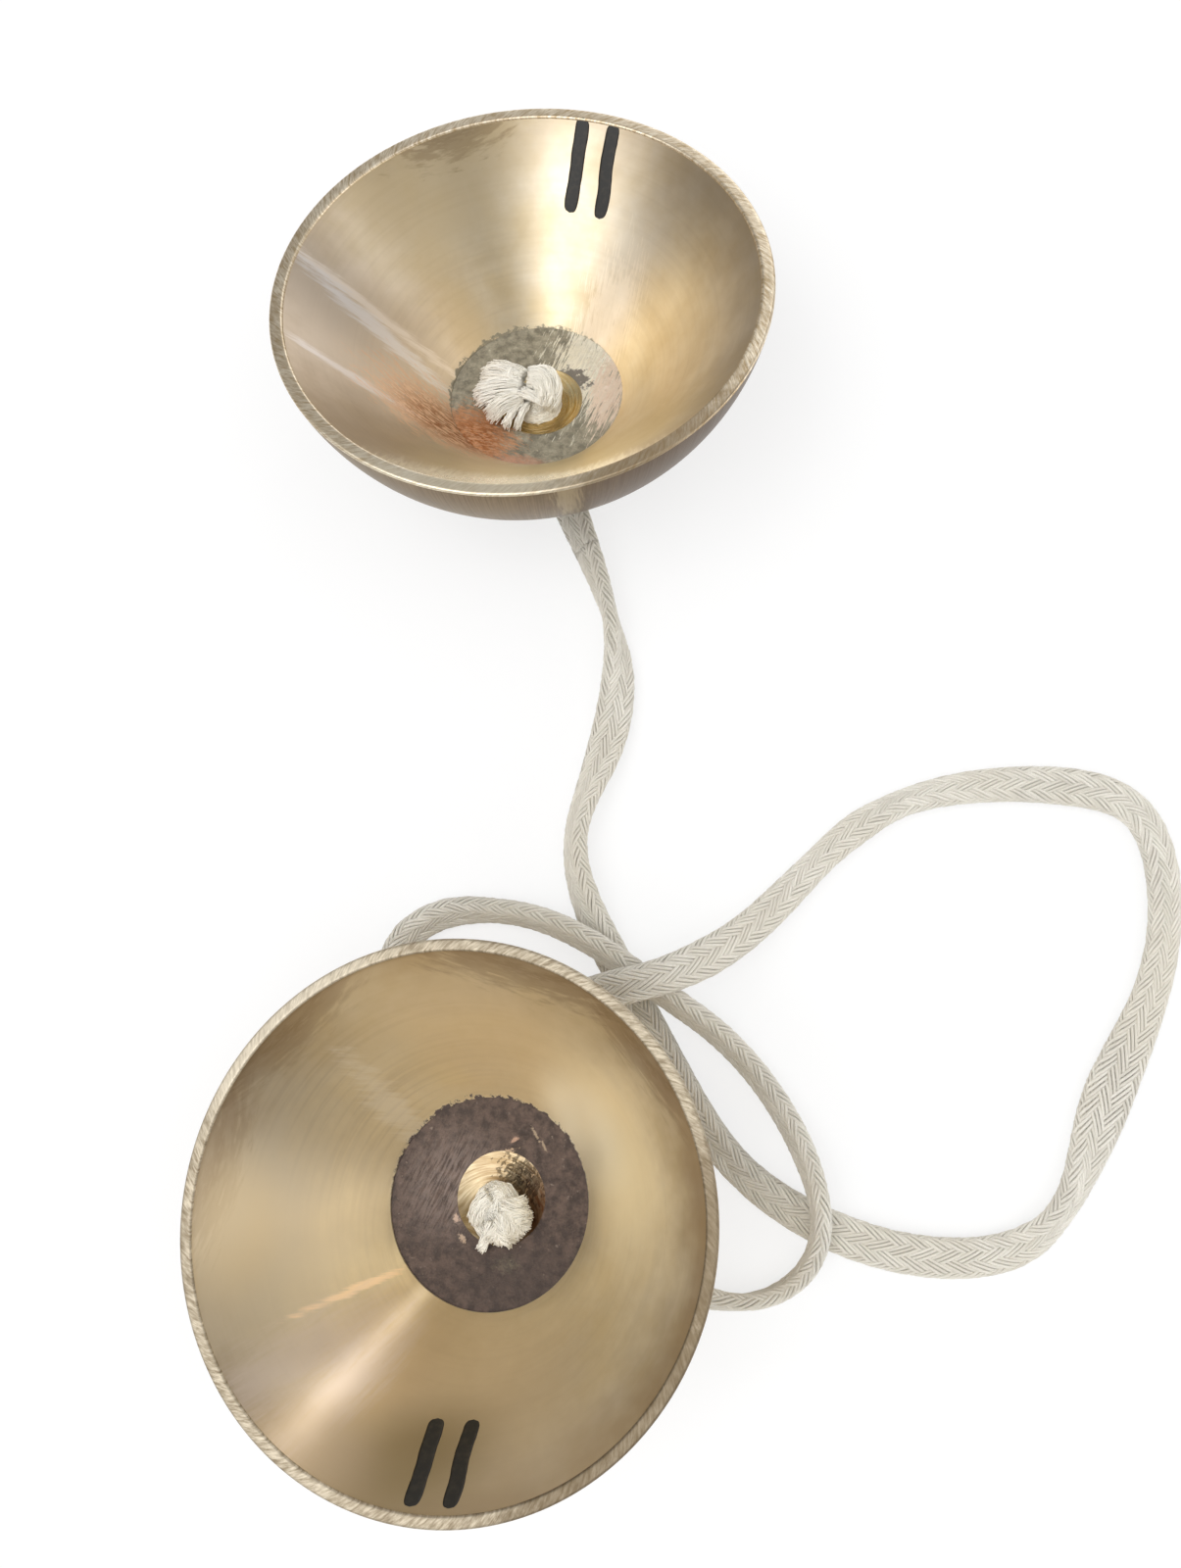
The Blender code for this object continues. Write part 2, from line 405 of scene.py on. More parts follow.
def spline(
    points: np.ndarray, step: float, ease: float = 0.75, fine: int = 400
) -> tuple[np.ndarray, np.ndarray]:
    """Draws a natural cubic curve through the points.

    Args:
        points: The points that the curve goes through.
        step: The distance between two of the curve's own points.
        ease: How far long and short steps between the points are evened out.
        fine: How many points the curve is first drawn with, for each given one.

    Returns:
        The curve's points, and how far along it each given point lies.
    """
    steps = np.linalg.norm(np.diff(points, axis=0), axis=1) ** ease
    knots = np.concatenate([[0.0], np.cumsum(steps)])
    size = len(points)
    system = np.eye(size)
    slopes = np.zeros((size, 3))
    for i in range(1, size - 1):
        system[i, i - 1 : i + 2] = steps[i - 1], 2.0 * (steps[i - 1] + steps[i]), steps[i]
        after = (points[i + 1] - points[i]) / steps[i]
        slopes[i] = 6.0 * (after - (points[i] - points[i - 1]) / steps[i - 1])
    bend = np.linalg.solve(system, slopes)
    at = np.linspace(0.0, knots[-1], fine * size)
    span = np.clip(np.searchsorted(knots, at, side="right") - 1, 0, size - 2)
    width = steps[span][:, None]
    low = (knots[span + 1] - at)[:, None]
    high = (at - knots[span])[:, None]
    curve = (
        bend[span] * low**3 / (6.0 * width)
        + bend[span + 1] * high**3 / (6.0 * width)
        + (points[span] / width - bend[span] * width / 6.0) * low
        + (points[span + 1] / width - bend[span + 1] * width / 6.0) * high
    )
    strides = np.linalg.norm(np.diff(curve, axis=0), axis=1)
    along = np.concatenate([[0.0], np.cumsum(strides)])
    even = np.linspace(0.0, along[-1], int(along[-1] / step) + 1)
    drawn = np.stack([np.interp(even, along, curve[:, k]) for k in range(3)], axis=1)
    return drawn, np.interp(knots, at, along)


def softened(values: np.ndarray, reach: int) -> np.ndarray:
    """Evens out a row of values with a bell-shaped window.

    Args:
        values: The values, evenly spaced.
        reach: Half the window's width, as a number of values.

    Returns:
        As many values, smoothed.
    """
    window = np.hanning(2 * reach + 3)[1:-1]
    padded = np.pad(values, reach, mode="edge")
    return np.convolve(padded, window / window.sum(), mode="valid")


@dataclass(frozen=True)
class Seat:
    """Where a cup lies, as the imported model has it."""

    side: Side

    def joint(self, motion: str) -> dict[str, Any]:
        """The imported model's joint of this cup for "tip" or "spin"."""
        name = f"{self.side.value}_{motion}"
        return next(j for j in frame["joints"] if j["name"] == name)

    @property
    def crown(self) -> Vector:
        """The point on the cup's axis, level with the bottom of its dome."""
        return Vector(self.joint("spin")["pos_m"])

    @property
    def axis(self) -> Vector:
        """The cup's axis, from its crown to its mouth."""
        return Vector(self.joint("spin")["axis"]).normalized()

    @property
    def place(self) -> Matrix:
        """The matrix of the cup's own frame."""
        axis = self.axis
        right = (Vector((1.0, 0.0, 0.0)) - axis * axis.x).normalized()
        up = axis.cross(right)
        turn = Matrix((right, up, axis)).transposed()
        return Matrix.Translation(self.crown) @ turn.to_4x4()

    @property
    def contact(self) -> Vector:
        """The point where the cup's dome meets the table."""
        tip = Vector(self.joint("tip")["pos_m"])
        return Vector((tip.x, tip.y, 0.0))


@dataclass(frozen=True)
class Stain:
    """A patch of another colour on a cup, placed in the cup's frame, in millimetres and degrees.

    It reaches as far as long and wide to both sides of its middle. The grain is how long and how
    wide its speckles or strokes are, and speckle is how far what is under it shows between them. A
    bare one is where metal shows through a skin.
    """

    x: float
    y: float
    long: float
    wide: float
    turn: float
    colour: int
    strength: float
    softness: float = 0.3
    ragged: float = 0.8
    grain: tuple[float, float] = (1.6, 1.6)
    grain_turn: float = 0.0
    roughness: float | None = None
    speckle: float = 0.0
    bare: bool = False


@dataclass
class Surface:
    """A surface in the making: the place in its piece's frame, and what its shader gets so far."""

    shading: Shading
    spot: Socket
    colour: Socket
    rough: Value
    metal: Value = 1.0

    def cover(
        self, mask: Value, colour: int, rough: float | None = None, metal: float | None = None
    ) -> None:
        """Changes the surface as far as a mask covers it.

        Args:
            mask: How far each point is covered.
            colour: The colour there, as 0xRRGGBB.
            rough: The roughness there, or None to leave it.
            metal: How metallic it is there, or None to leave it.
        """
        self.colour = self.shading.mix(mask, self.colour, colour)
        if rough is not None:
            self.rough = self.shading.fade(mask, self.rough, rough)
        if metal is not None:
            self.metal = self.shading.fade(mask, self.metal, metal)

    def lay(self, stain: Stain) -> None:
        """Lays a stain over the surface.

        Args:
            stain: What to lay over it.
        """
        shading = self.shading
        middle = (stain.x * MM, stain.y * MM, 0.0)
        size = (stain.long * MM, stain.wide * MM, 1.0)
        inside = shading.laid(self.spot, middle, stain.turn, size)
        away = shading.vector("LENGTH", inside, out="Value")
        grain_size = (stain.grain[0] * MM, stain.grain[1] * MM, 4.0 * MM)
        grain = shading.laid(self.spot, ORIGIN, stain.grain_turn, grain_size)
        noise = shading.noise(grain, 1.0, 4.0, 0.65)
        centred = shading.math("SUBTRACT", noise, 0.5)
        torn = shading.math("MULTIPLY_ADD", centred, 2.0 * stain.ragged, away)
        outer, inner = 1.0 + stain.softness, 1.0 - stain.softness
        mask = shading.remap(torn, outer, inner, 0.0, stain.strength, smooth=True)
        if stain.speckle > 0.0:
            shown = shading.remap(noise, 0.42, 0.60, 1.0 - stain.speckle)
            mask = shading.math("MULTIPLY", mask, shown)
        self.cover(mask, stain.colour, stain.roughness, 1.0 if stain.bare else None)

    def finish(self, bump: Socket | None = None, inputs: dict[str, Any] | None = None) -> None:
        """Ends the tree in a Principled shader.

        Args:
            bump: The surface's normal, or None where it is smooth.
            inputs: More of the shader's inputs, by name.
        """
        given = {"Base Color": self.colour, "Metallic": self.metal, "Roughness": self.rough}
        if bump is not None:
            given["Normal"] = bump
        shader = self.shading.add("ShaderNodeBsdfPrincipled", {**given, **(inputs or {})})
        self.shading.add("ShaderNodeOutputMaterial", {"Surface": shader})


@dataclass(frozen=True)
class TurnedBellMetal:
    """Bell metal, which is high-tin bronze, cut on a lathe and left with its tool lines.

    The lines run round the cup, so a lamp shows as bright wedges from the floor to the rim. The
    bare metal is pale champagne, and it goes olive and then brown where hands and air have worked
    on it. Pitches and the patch, which is the cast floor's middle and radius, are in millimetres.
    """

    name: str
    bright: int
    dull: int
    brown: int
    rim_brown: float
    stains: tuple[Stain, ...]
    patch: tuple[float, float, float]
    skin: int
    ragged_towards: float
    lines_towards: float
    line_pitch: float = 0.42
    broad_pitch: float = 1.9
    roughness: float = 0.28

    def build(self) -> bpy.types.Material:
        """Makes the material, laid out in the cup's own frame."""
        material, shading = new_material(self.name)
        spot = shading.place()
        flat = shading.vector("MULTIPLY", spot, FLAT)
        radius = shading.vector("LENGTH", flat, out="Value")
        heading = shading.vector("NORMALIZE", flat)
        fine = self.rings(shading, heading, radius, self.line_pitch, 1.2)
        broad = self.rings(shading, heading, radius, self.broad_pitch, 0.9)
        # Handled metal is duller and rougher, in clouds
        cloud = shading.noise(spot, 9.0 * MM, 5.0, 0.6)
        colour = shading.mix(shading.remap(cloud, 0.35, 0.68), self.bright, self.dull)
        rough = shading.remap(cloud, 0.3, 0.7, self.roughness, self.roughness + 0.07)
        surface = Surface(shading, spot, colour, rough)
        # The lines show best on the side where they catch the light
        facing = shading.facing(heading, self.lines_towards)
        clear = shading.remap(facing, 0.2, 0.95, 0.04, 0.16)
        for rings, depth in ((broad, 0.04), (fine, clear)):
            surface.cover(shading.remap(rings, 0.52, 0.36, 0.0, depth), self.brown)
        self.tarnish_rim(surface, radius, broad)
        for stain in self.stains:
            surface.lay(stain)
        self.lay_ragged_skin(surface)
        height = shading.math("MULTIPLY_ADD", broad, 0.6, fine)
        round_axis = {"direction_type": "RADIAL", "axis": "Z"}
        brushed = {
            "Anisotropic": 0.95,
            "Anisotropic Rotation": 0.25,
            "Tangent": shading.add("ShaderNodeTangent", None, round_axis),
        }
        surface.finish(shading.bump(height, 0.16, 0.05), brushed)
        return material

    def rings(
        self, shading: Shading, heading: Socket, radius: Socket, pitch: float, wander: float
    ) -> Socket:
        """Adds lines that run round the cup.

        Args:
            shading: The material's tree.
            heading: The direction from the axis, with length one.
            radius: The distance from the axis.
            pitch: The spacing of the lines in millimetres.
            wander: How much a line changes on its way round.

        Returns:
            The lines' height, from 0 to 1.
        """
        stretched = shading.math("MULTIPLY", radius, 1.0 / (pitch * MM))
        lifted = shading.add("ShaderNodeCombineXYZ", {"Z": stretched})
        place = shading.vector("MULTIPLY_ADD", heading, (wander, wander, 0.0), lifted)
        return shading.noise(place, 1.0, 1.0, 0.55)

    def tarnish_rim(self, surface: Surface, radius: Socket, broad: Socket) -> None:
        """Browns the metal just inside the rim.

        Args:
            surface: The surface so far.
            radius: The distance from the axis.
            broad: The height of the broad rings.
        """
        shading = surface.shading
        # Blotches and the broad rings push the brown in and out
        blotch = shading.noise(surface.spot, 8.0 * MM, 3.0, 0.55)
        push = shading.math("MULTIPLY_ADD", blotch, 8.0 * MM, radius)
        push = shading.math("MULTIPLY_ADD", broad, 2.5 * MM, push)
        mask = shading.remap(push, 26.0 * MM, 37.0 * MM, 0.0, self.rim_brown, smooth=True)
        surface.cover(mask, self.brown, 0.42)

    def lay_ragged_skin(self, surface: Surface) -> None:
        """Lets the cast skin of the floor run out over the edge of the turned cone.

        Args:
            surface: The surface so far.
        """
        x, y, radius = self.patch
        shading = surface.shading
        offset = shading.vector("ADD", surface.spot, (-x * MM, -y * MM, 0.0))
        flat = shading.vector("MULTIPLY", offset, FLAT)
        away = shading.vector("LENGTH", flat, out="Value")
        facing = shading.facing(shading.vector("NORMALIZE", flat), self.ragged_towards)
        # The skin reaches out in torn tongues on one side, and keeps a clean edge on the other
        reach = shading.remap(facing, -0.1, 0.9, 0.0, 2.6 * MM)
        torn = shading.noise(surface.spot, 0.9 * MM, 4.0, 0.7)
        ragged = shading.math("MULTIPLY_ADD", torn, reach, radius * MM)
        edge = shading.math("MULTIPLY_ADD", reach, -0.42, ragged)
        inside = shading.math("SUBTRACT", edge, away)
        mask = shading.remap(inside, -0.05 * MM, 0.12 * MM)
        surface.cover(mask, self.skin, 0.62, 0.35)


@dataclass(frozen=True)
class CastSkin:
    """The skin of the casting, left on the floor of a cup: grey-brown oxide, pitted and matt."""

    name: str
    main: int
    dark: int
    specks: int
    stains: tuple[Stain, ...] = ()
    metallic: float = 0.35
    roughness: float = 0.62

    def build(self) -> bpy.types.Material:
        """Makes the material, laid out in the cup's own frame."""
        material, shading = new_material(self.name)
        spot = shading.place()
        # Oxide is mottled dark and light, and pale grains of the mould stick in its pits
        mottle = shading.noise(spot, 1.3 * MM, 7.0, 0.72)
        pits = shading.noise(spot, 0.55 * MM, 3.0, 0.6)
        colour = shading.mix(shading.remap(mottle, 0.40, 0.62), self.dark, self.main)
        rough = shading.remap(mottle, 0.3, 0.7, self.roughness - 0.1, self.roughness + 0.1)
        surface = Surface(shading, spot, colour, rough, self.metallic)
        surface.cover(shading.remap(pits, 0.66, 0.74, 0.0, 0.75), self.specks)
        for stain in self.stains:
            surface.lay(stain)
        height = shading.math("MULTIPLY_ADD", pits, 0.5, mottle)
        surface.finish(shading.bump(height, 0.7, 0.25))
        return material


@dataclass(frozen=True)
class StrokedBellMetal:
    """Bell metal dressed by hand: filed on the rim, rubbed outside, or cut round in the sink.

    The strokes are fine dull grooves in pale metal, and they spread a lamp's light across them.
    How wide and how long a stroke is goes in millimetres, and its slant in degrees.
    """

    name: str
    bright: int
    dull: int
    brown: int
    stroke: float
    length: float
    slant: float
    browned: float
    stains: tuple[Stain, ...] = ()
    roughness: float = 0.36
    groove: float = 0.35

    def build(self) -> bpy.types.Material:
        """Makes the material, laid out in the cup's own frame."""
        material, shading = new_material(self.name)
        spot = shading.place()
        x = shading.add("ShaderNodeSeparateXYZ", {0: spot}, out="X")
        y, z = x.node.outputs["Y"], x.node.outputs["Z"]
        # The surface is rolled out flat: round the rim is across, and from rim to crown is down
        across = shading.math("MULTIPLY", shading.math("ARCTAN2", y, x), RIM_MIDDLE * MM)
        radius = shading.vector("LENGTH", shading.vector("MULTIPLY", spot, FLAT), out="Value")
        down = shading.math("SUBTRACT", radius, z)
        unrolled = shading.add("ShaderNodeCombineXYZ", {"X": across, "Y": down})
        size = (self.stroke * MM, self.length * MM, 1.0)
        strokes = shading.laid(unrolled, ORIGIN, self.slant, size)
        marks = shading.noise(strokes, 1.0, 4.0, 0.65)
        colour = shading.mix(shading.remap(marks, 0.36, 0.62), self.dull, self.bright)
        rough = shading.remap(marks, 0.0, 1.0, self.roughness + 0.12, self.roughness - 0.08)
        surface = Surface(shading, spot, colour, rough)
        blotch = shading.noise(spot, 7.0 * MM, 5.0, 0.65)
        surface.cover(shading.remap(blotch, 0.42, 0.62, 0.0, self.browned), self.brown)
        for stain in self.stains:
            surface.lay(stain)
        surface.finish(shading.bump(marks, self.groove, 0.12))
        return material


@dataclass(frozen=True)
class CottonYarn:
    """Undyed cotton, plied into soft yarn: matt, off-white, with a fine fuzz that catches light."""

    name: str
    light: int
    shadow: int
    tint: int
    fibre: float = 0.16
    sheen: float = 0.25

    def build(self) -> bpy.types.Material:
        """Makes the material, which reads each yarn's own tone from the attribute "shade"."""
        material, shading = new_material(self.name)
        spot = shading.place()
        shade = shading.add("ShaderNodeAttribute", None, {"attribute_name": "shade"}, "Fac")
        # Loose fibres leave fine shadows between them, and handling leaves a faint warm drift
        fibres = shading.noise(spot, self.fibre * MM, 3.0, 0.7)
        drift = shading.noise(spot, 11.0 * MM, 3.0, 0.5)
        colour = shading.mix(shade, self.shadow, self.light)
        surface = Surface(shading, spot, colour, 0.92, 0.0)
        surface.cover(shading.remap(fibres, 0.52, 0.30, 0.0, 0.45), self.shadow)
        surface.cover(shading.remap(drift, 0.40, 0.62, 0.0, 0.6), self.tint)
        fuzz = {
            "Sheen Weight": self.sheen,
            "Sheen Roughness": 0.5,
            "Specular IOR Level": 0.25,
        }
        surface.finish(shading.bump(fibres, 0.5, 0.08), fuzz)
        return material


@dataclass(frozen=True)
class CupShape:
    """Sizes that both cups share, in metres, as the model has them."""

    radius: float = 0.0315
    rim_land: float = 0.0019
    rim_edge: float = 0.0003
    wall_lean: float = math.radians(12.0)
    band: float = 0.0006
    dome_radius: float = 0.0305
    floor_step: float = 0.0003
    hole_radius: float = 0.0030
    hole_wall: float = 0.0011
    sink_radius: float = 0.0057
    sink_depth: float = 0.0010
    flare_radius: float = 0.0055
    flare_depth: float = 0.0012
    segments: int = 256

    @property
    def dome_offset(self) -> float:
        """How far the dome's arc is centred from the axis."""
        foot = self.radius - self.band * math.tan(self.wall_lean)
        return foot - self.dome_radius * math.cos(self.wall_lean)

    @property
    def height(self) -> float:
        """The rim's height over the bottom of the dome."""
        return self.dome_radius * (1.0 - math.sin(self.wall_lean)) + self.band

    @property
    def flare_top(self) -> float:
        """Where the flare round the hole ends and the plain hole begins."""
        run = self.flare_radius - self.dome_offset
        return self.dome_radius - math.sqrt(self.dome_radius**2 - run**2) + self.flare_depth

    @property
    def sink_foot(self) -> float:
        """Where the plain hole ends and the sink inside begins."""
        return self.flare_top + self.hole_wall

    @property
    def floor(self) -> float:
        """The height of the floor inside."""
        return self.sink_foot + self.sink_depth

    def cone(self, radius: float, foot: float) -> float:
        """The turned cone's height at a radius, for a cone that starts at the foot's radius."""
        low = self.floor + self.floor_step
        share = (radius - foot) / (self.radius - self.rim_land - foot)
        return low + share * (self.height - self.rim_edge - low)


@dataclass(frozen=True)
class ProfilePoint:
    """A point of a cup's section: where it is, its surface, and how far it follows two shifts."""

    radius: float
    height: float
    zone: Zone
    ring_share: float = 0.0
    patch_share: float = 0.0
    pitted: float = 0.0


def arc(
    centre: tuple[float, float], radius: float, start: float, end: float, count: int
) -> list[tuple[float, float]]:
    """Points on a circle in a section.

    Args:
        centre: The circle's middle, as radius and height.
        radius: The circle's own radius.
        start: The first point's angle.
        end: The last point's angle.
        count: How many points there are.

    Returns:
        The points as (radius, height).
    """
    angles = np.linspace(start, end, count)
    return [(centre[0] + radius * math.cos(a), centre[1] + radius * math.sin(a)) for a in angles]


@dataclass
class Cup:
    """One cymbal.

    Its cut rings stand off the axis by the ring shift, in millimetres, because the casting was not
    centred. The pits are how rough the cast floor is, in millimetres, and an edge that turns by
    more than the crease is sharp.
    """

    side: Side
    turned: TurnedBellMetal
    cast: CastSkin
    sink: StrokedBellMetal
    rim: StrokedBellMetal
    outside: StrokedBellMetal
    ring_shift: tuple[float, float]
    bright_edge_towards: float
    shape: CupShape = CupShape()
    pits: float = 0.028
    crease: float = math.radians(28.0)
    dome_rings: int = 44
    floor_rings: int = 22
    cone_rings: int = 56

    def profile(self) -> list[ProfilePoint]:
        """The cup's closed section, from the rim down its outer side and up inside.

        Returns:
            The section's points in order.
        """
        s = self.shape
        mouth = s.radius - s.rim_land
        foot = self.turned.patch[2] * MM
        inset = s.rim_edge * math.tan((math.pi / 2 + s.wall_lean) / 2)
        bend = s.height - s.rim_edge
        inner = arc((mouth + s.rim_edge, bend), s.rim_edge, math.pi, math.pi / 2, 5)
        outer = arc((s.radius - inset, bend), s.rim_edge, math.pi / 2, -s.wall_lean, 6)
        land = np.linspace(inner[-1][0], outer[0][0], 6)[1:-1]
        points = [ProfilePoint(r, h, Zone.RIM) for r, h in inner]
        points += [ProfilePoint(r, s.height, Zone.RIM) for r in land]
        points += [ProfilePoint(r, h, Zone.RIM) for r, h in outer[:-1]]
        points.append(ProfilePoint(*outer[-1], Zone.OUTSIDE))
        flare = math.asin((s.flare_radius - s.dome_offset) / s.dome_radius) - math.pi / 2
        middle = (s.dome_offset, s.dome_radius)
        dome = arc(middle, s.dome_radius, -s.wall_lean, flare, self.dome_rings)
        points += [ProfilePoint(r, h, Zone.OUTSIDE) for r, h in dome]
        points.append(ProfilePoint(s.hole_radius, s.flare_top, Zone.SINK))
        points.append(ProfilePoint(s.hole_radius, s.sink_foot, Zone.SINK))
        for share in (0.33, 0.66, 0.97):
            radius = s.hole_radius + share * (s.sink_radius - s.hole_radius)
            height = s.sink_foot + share * s.sink_depth
            points.append(ProfilePoint(radius, height, Zone.SINK, share))
        for share in np.linspace(0.0, 1.0, self.floor_rings):
            radius = s.sink_radius + share * (foot - s.sink_radius)
            pitted = min(1.0, 8.0 * share * (1.0 - share))
            points.append(
                ProfilePoint(radius, s.floor, Zone.CAST, 1.0 - share, share, float(pitted))
            )
        points[-1] = ProfilePoint(foot, s.floor, Zone.TURNED, 0.0, 1.0)
        for share in np.linspace(0.0, 1.0, self.cone_rings)[:-1]:
            radius = foot + share * (mouth - foot)
            points.append(
                ProfilePoint(radius, s.cone(radius, foot), Zone.TURNED, 0.0, 1.0 - share)
            )
        return points

    def surface(self, points: list[ProfilePoint]) -> np.ndarray:
        """Turns the section round the axis, with its shifted rings, uneven step and pitted floor.

        Args:
            points: The section's points.

        Returns:
            An array of (point of the section, turn, xyz) in metres.
        """
        s = self.shape
        turn = np.arange(s.segments) * 2.0 * math.pi / s.segments
        radii, heights, ring, patch, pitted = (
            np.array([getattr(p, name) for p in points])
            for name in ("radius", "height", "ring_share", "patch_share", "pitted")
        )
        shift = ring[:, None] * self.ring_shift + patch[:, None] * self.turned.patch[:2]
        grid = np.zeros((len(points), s.segments, 3))
        grid[:, :, 0] = radii[:, None] * np.cos(turn) + shift[:, :1] * MM
        grid[:, :, 1] = radii[:, None] * np.sin(turn) + shift[:, 1:] * MM
        grid[:, :, 2] = heights[:, None]
        # The step round the floor is deepest away from its bright edge
        towards = math.radians(self.bright_edge_towards)
        sunk = s.floor_step * (0.5 - 0.5 * np.cos(turn - towards))
        step = next(i for i, p in enumerate(points) if p.zone is Zone.TURNED)
        grid[step, :, 2] += sunk
        follows = np.where(ring > 0.0, patch, 0.0) ** 4
        grid[:, :, 2] += follows[:, None] * sunk
        draw = np.random.default_rng(SEED + len(self.side.value))
        rough = draw.normal(0.0, 1.0, grid.shape[:2])
        rough = 0.5 * rough + 0.25 * (np.roll(rough, 1, axis=1) + np.roll(rough, -1, axis=1))
        grid[:, :, 2] += self.pits * MM * pitted[:, None] * rough
        return grid

    def build(self) -> bpy.types.Object:
        """Makes the cup, dresses it and lets it ride on its body.

        Returns:
            The cup's object.
        """
        points = self.profile()
        grid = self.surface(points)
        rows, count = grid.shape[:2]
        index = np.arange(rows * count).reshape(rows, count)
        quads = grid_quads(np.pad(index, (0, 1), mode="wrap"), flip=True)
        name = f"{self.side.value}_bell_cup"
        obj = mesh_object(name, grid.reshape(-1, 3), quads, Seat(self.side).place)
        mesh = obj.data
        finishes = {
            Zone.TURNED: self.turned,
            Zone.CAST: self.cast,
            Zone.SINK: self.sink,
            Zone.RIM: self.rim,
            Zone.OUTSIDE: self.outside,
        }
        for zone in Zone:
            mesh.materials.append(finishes[zone].build())
        zones = np.repeat([p.zone.value for p in points], count).astype(np.int32)
        mesh.polygons.foreach_set("material_index", zones)
        mesh.set_sharp_from_angle(angle=self.crease)
        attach(obj, f"{self.side.value}_cup")
        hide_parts(f"{self.side.value}_cup")
        LOG.info("%s: %d faces", name, len(mesh.polygons))
        return obj


@dataclass(frozen=True)
class FeltPen:
    """Black felt-pen ink on metal: dense, a little glossy, thinner where the tip lifted."""

    name: str = "felt_pen_ink"
    ink: int = 0x16140F
    thin: int = 0x2B251C

    def build(self) -> bpy.types.Material:
        """Makes the material."""
        material, shading = new_material(self.name)
        spot = shading.place()
        streaks = shading.noise(spot, 0.8 * MM, 3.0, 0.6)
        colour = shading.mix(shading.remap(streaks, 0.45, 0.7), self.ink, self.thin)
        Surface(shading, spot, colour, 0.42, 0.0).finish()
        return material


@dataclass
class PairMark:
    """Two thick parallel felt-pen strokes inside a cup, which tell the pair from other pairs.

    Sizes are in millimetres. A stroke's ink stands proud of the metal and swells to its middle, and
    its underside is hidden at its depth in the metal.
    """

    side: Side
    ink: bpy.types.Material
    middle: tuple[float, float]
    turn: float
    patch: tuple[float, float, float]
    length: float = 7.6
    width: float = 1.9
    spacing: float = 4.2
    proud: float = 0.02
    swell: float = 0.03
    depth: float = 0.05
    shape: CupShape = CupShape()

    def surface(self, x: np.ndarray, y: np.ndarray) -> np.ndarray:
        """The inside's height under a point, in millimetres.

        Args:
            x: Places across, in the cup's frame.
            y: Places up.

        Returns:
            The heights, for points on the turned cone.
        """
        foot = self.patch[2]
        mouth = (self.shape.radius - self.shape.rim_land) / MM
        share = np.zeros_like(x)
        # The cone's foot stands off its axis, so each round brings the share up it nearer
        for _ in range(6):
            away = np.hypot(x - self.patch[0] * (1 - share), y - self.patch[1] * (1 - share))
            share = (away - foot) / (mouth - foot)
        low = (self.shape.floor + self.shape.floor_step) / MM
        high = (self.shape.height - self.shape.rim_edge) / MM
        return low + share * (high - low)

    def stroke(self, name: str, offset: float, draw: np.random.Generator) -> bpy.types.Object:
        """Makes one stroke: a thin closed skin that lies on the metal.

        Args:
            name: The piece's name.
            offset: How far aside of the mark's middle it is, in millimetres.
            draw: The source of its small differences.

        Returns:
            The piece, not dressed yet.
        """
        turn = math.radians(self.turn)
        along, across = np.linspace(-1.0, 1.0, 61), np.linspace(-1.0, 1.0, 9)
        half = self.width / 2 * np.sqrt(np.clip(1.0 - np.abs(along) ** 14, 0.0, 1.0))
        half = half * (1.0 + 0.05 * softened(draw.normal(0.0, 1.0, len(along)), 4))
        drift = 0.25 * softened(draw.normal(0.0, 1.0, len(along)), 12)
        u = offset + drift[:, None] + half[:, None] * across[None, :]
        v = np.repeat(along[:, None] * self.length / 2, len(across), axis=1)
        x = self.middle[0] + u * math.cos(turn) - v * math.sin(turn)
        y = self.middle[1] + u * math.sin(turn) + v * math.cos(turn)
        metal = self.surface(x, y)
        top = np.stack([x, y, metal + self.proud + self.swell * (1.0 - across**2)], axis=-1)
        under = np.stack([x, y, metal - self.depth], axis=-1)
        index = np.arange(x.size).reshape(x.shape)
        rim = [*index[0], *index[1:, -1], *index[-1, -2::-1], *index[-2:0:-1, 0]]
        ahead = np.roll(rim, -1)
        walls = np.stack([ahead, rim, np.add(rim, x.size), ahead + x.size], axis=-1)
        quads = [grid_quads(index), grid_quads(index + x.size, flip=True), walls]
        verts = np.concatenate([top.reshape(-1, 3), under.reshape(-1, 3)]) * MM
        return mesh_object(name, verts, np.concatenate(quads), Seat(self.side).place)

    def build(self) -> None:
        """Makes both strokes and lets them ride on the cup."""
        draw = np.random.default_rng(SEED)
        for number, offset in enumerate((-self.spacing / 2, self.spacing / 2), start=1):
            name = f"{self.side.value}_pen_stroke_{number}"
            obj = self.stroke(name, offset, draw)
            obj.data.materials.append(self.ink)
            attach(obj, f"{self.side.value}_cup")
            LOG.info("%s", name)


@dataclass(frozen=True)
class Lay:
    """How the flat braid lies at a place: the number of its route point, its roll from flat in
    degrees, half its thickness in millimetres between the yarns' middles, and its girth."""

    station: float
    roll: float
    half: float = 0.75
    girth: float = 1.0


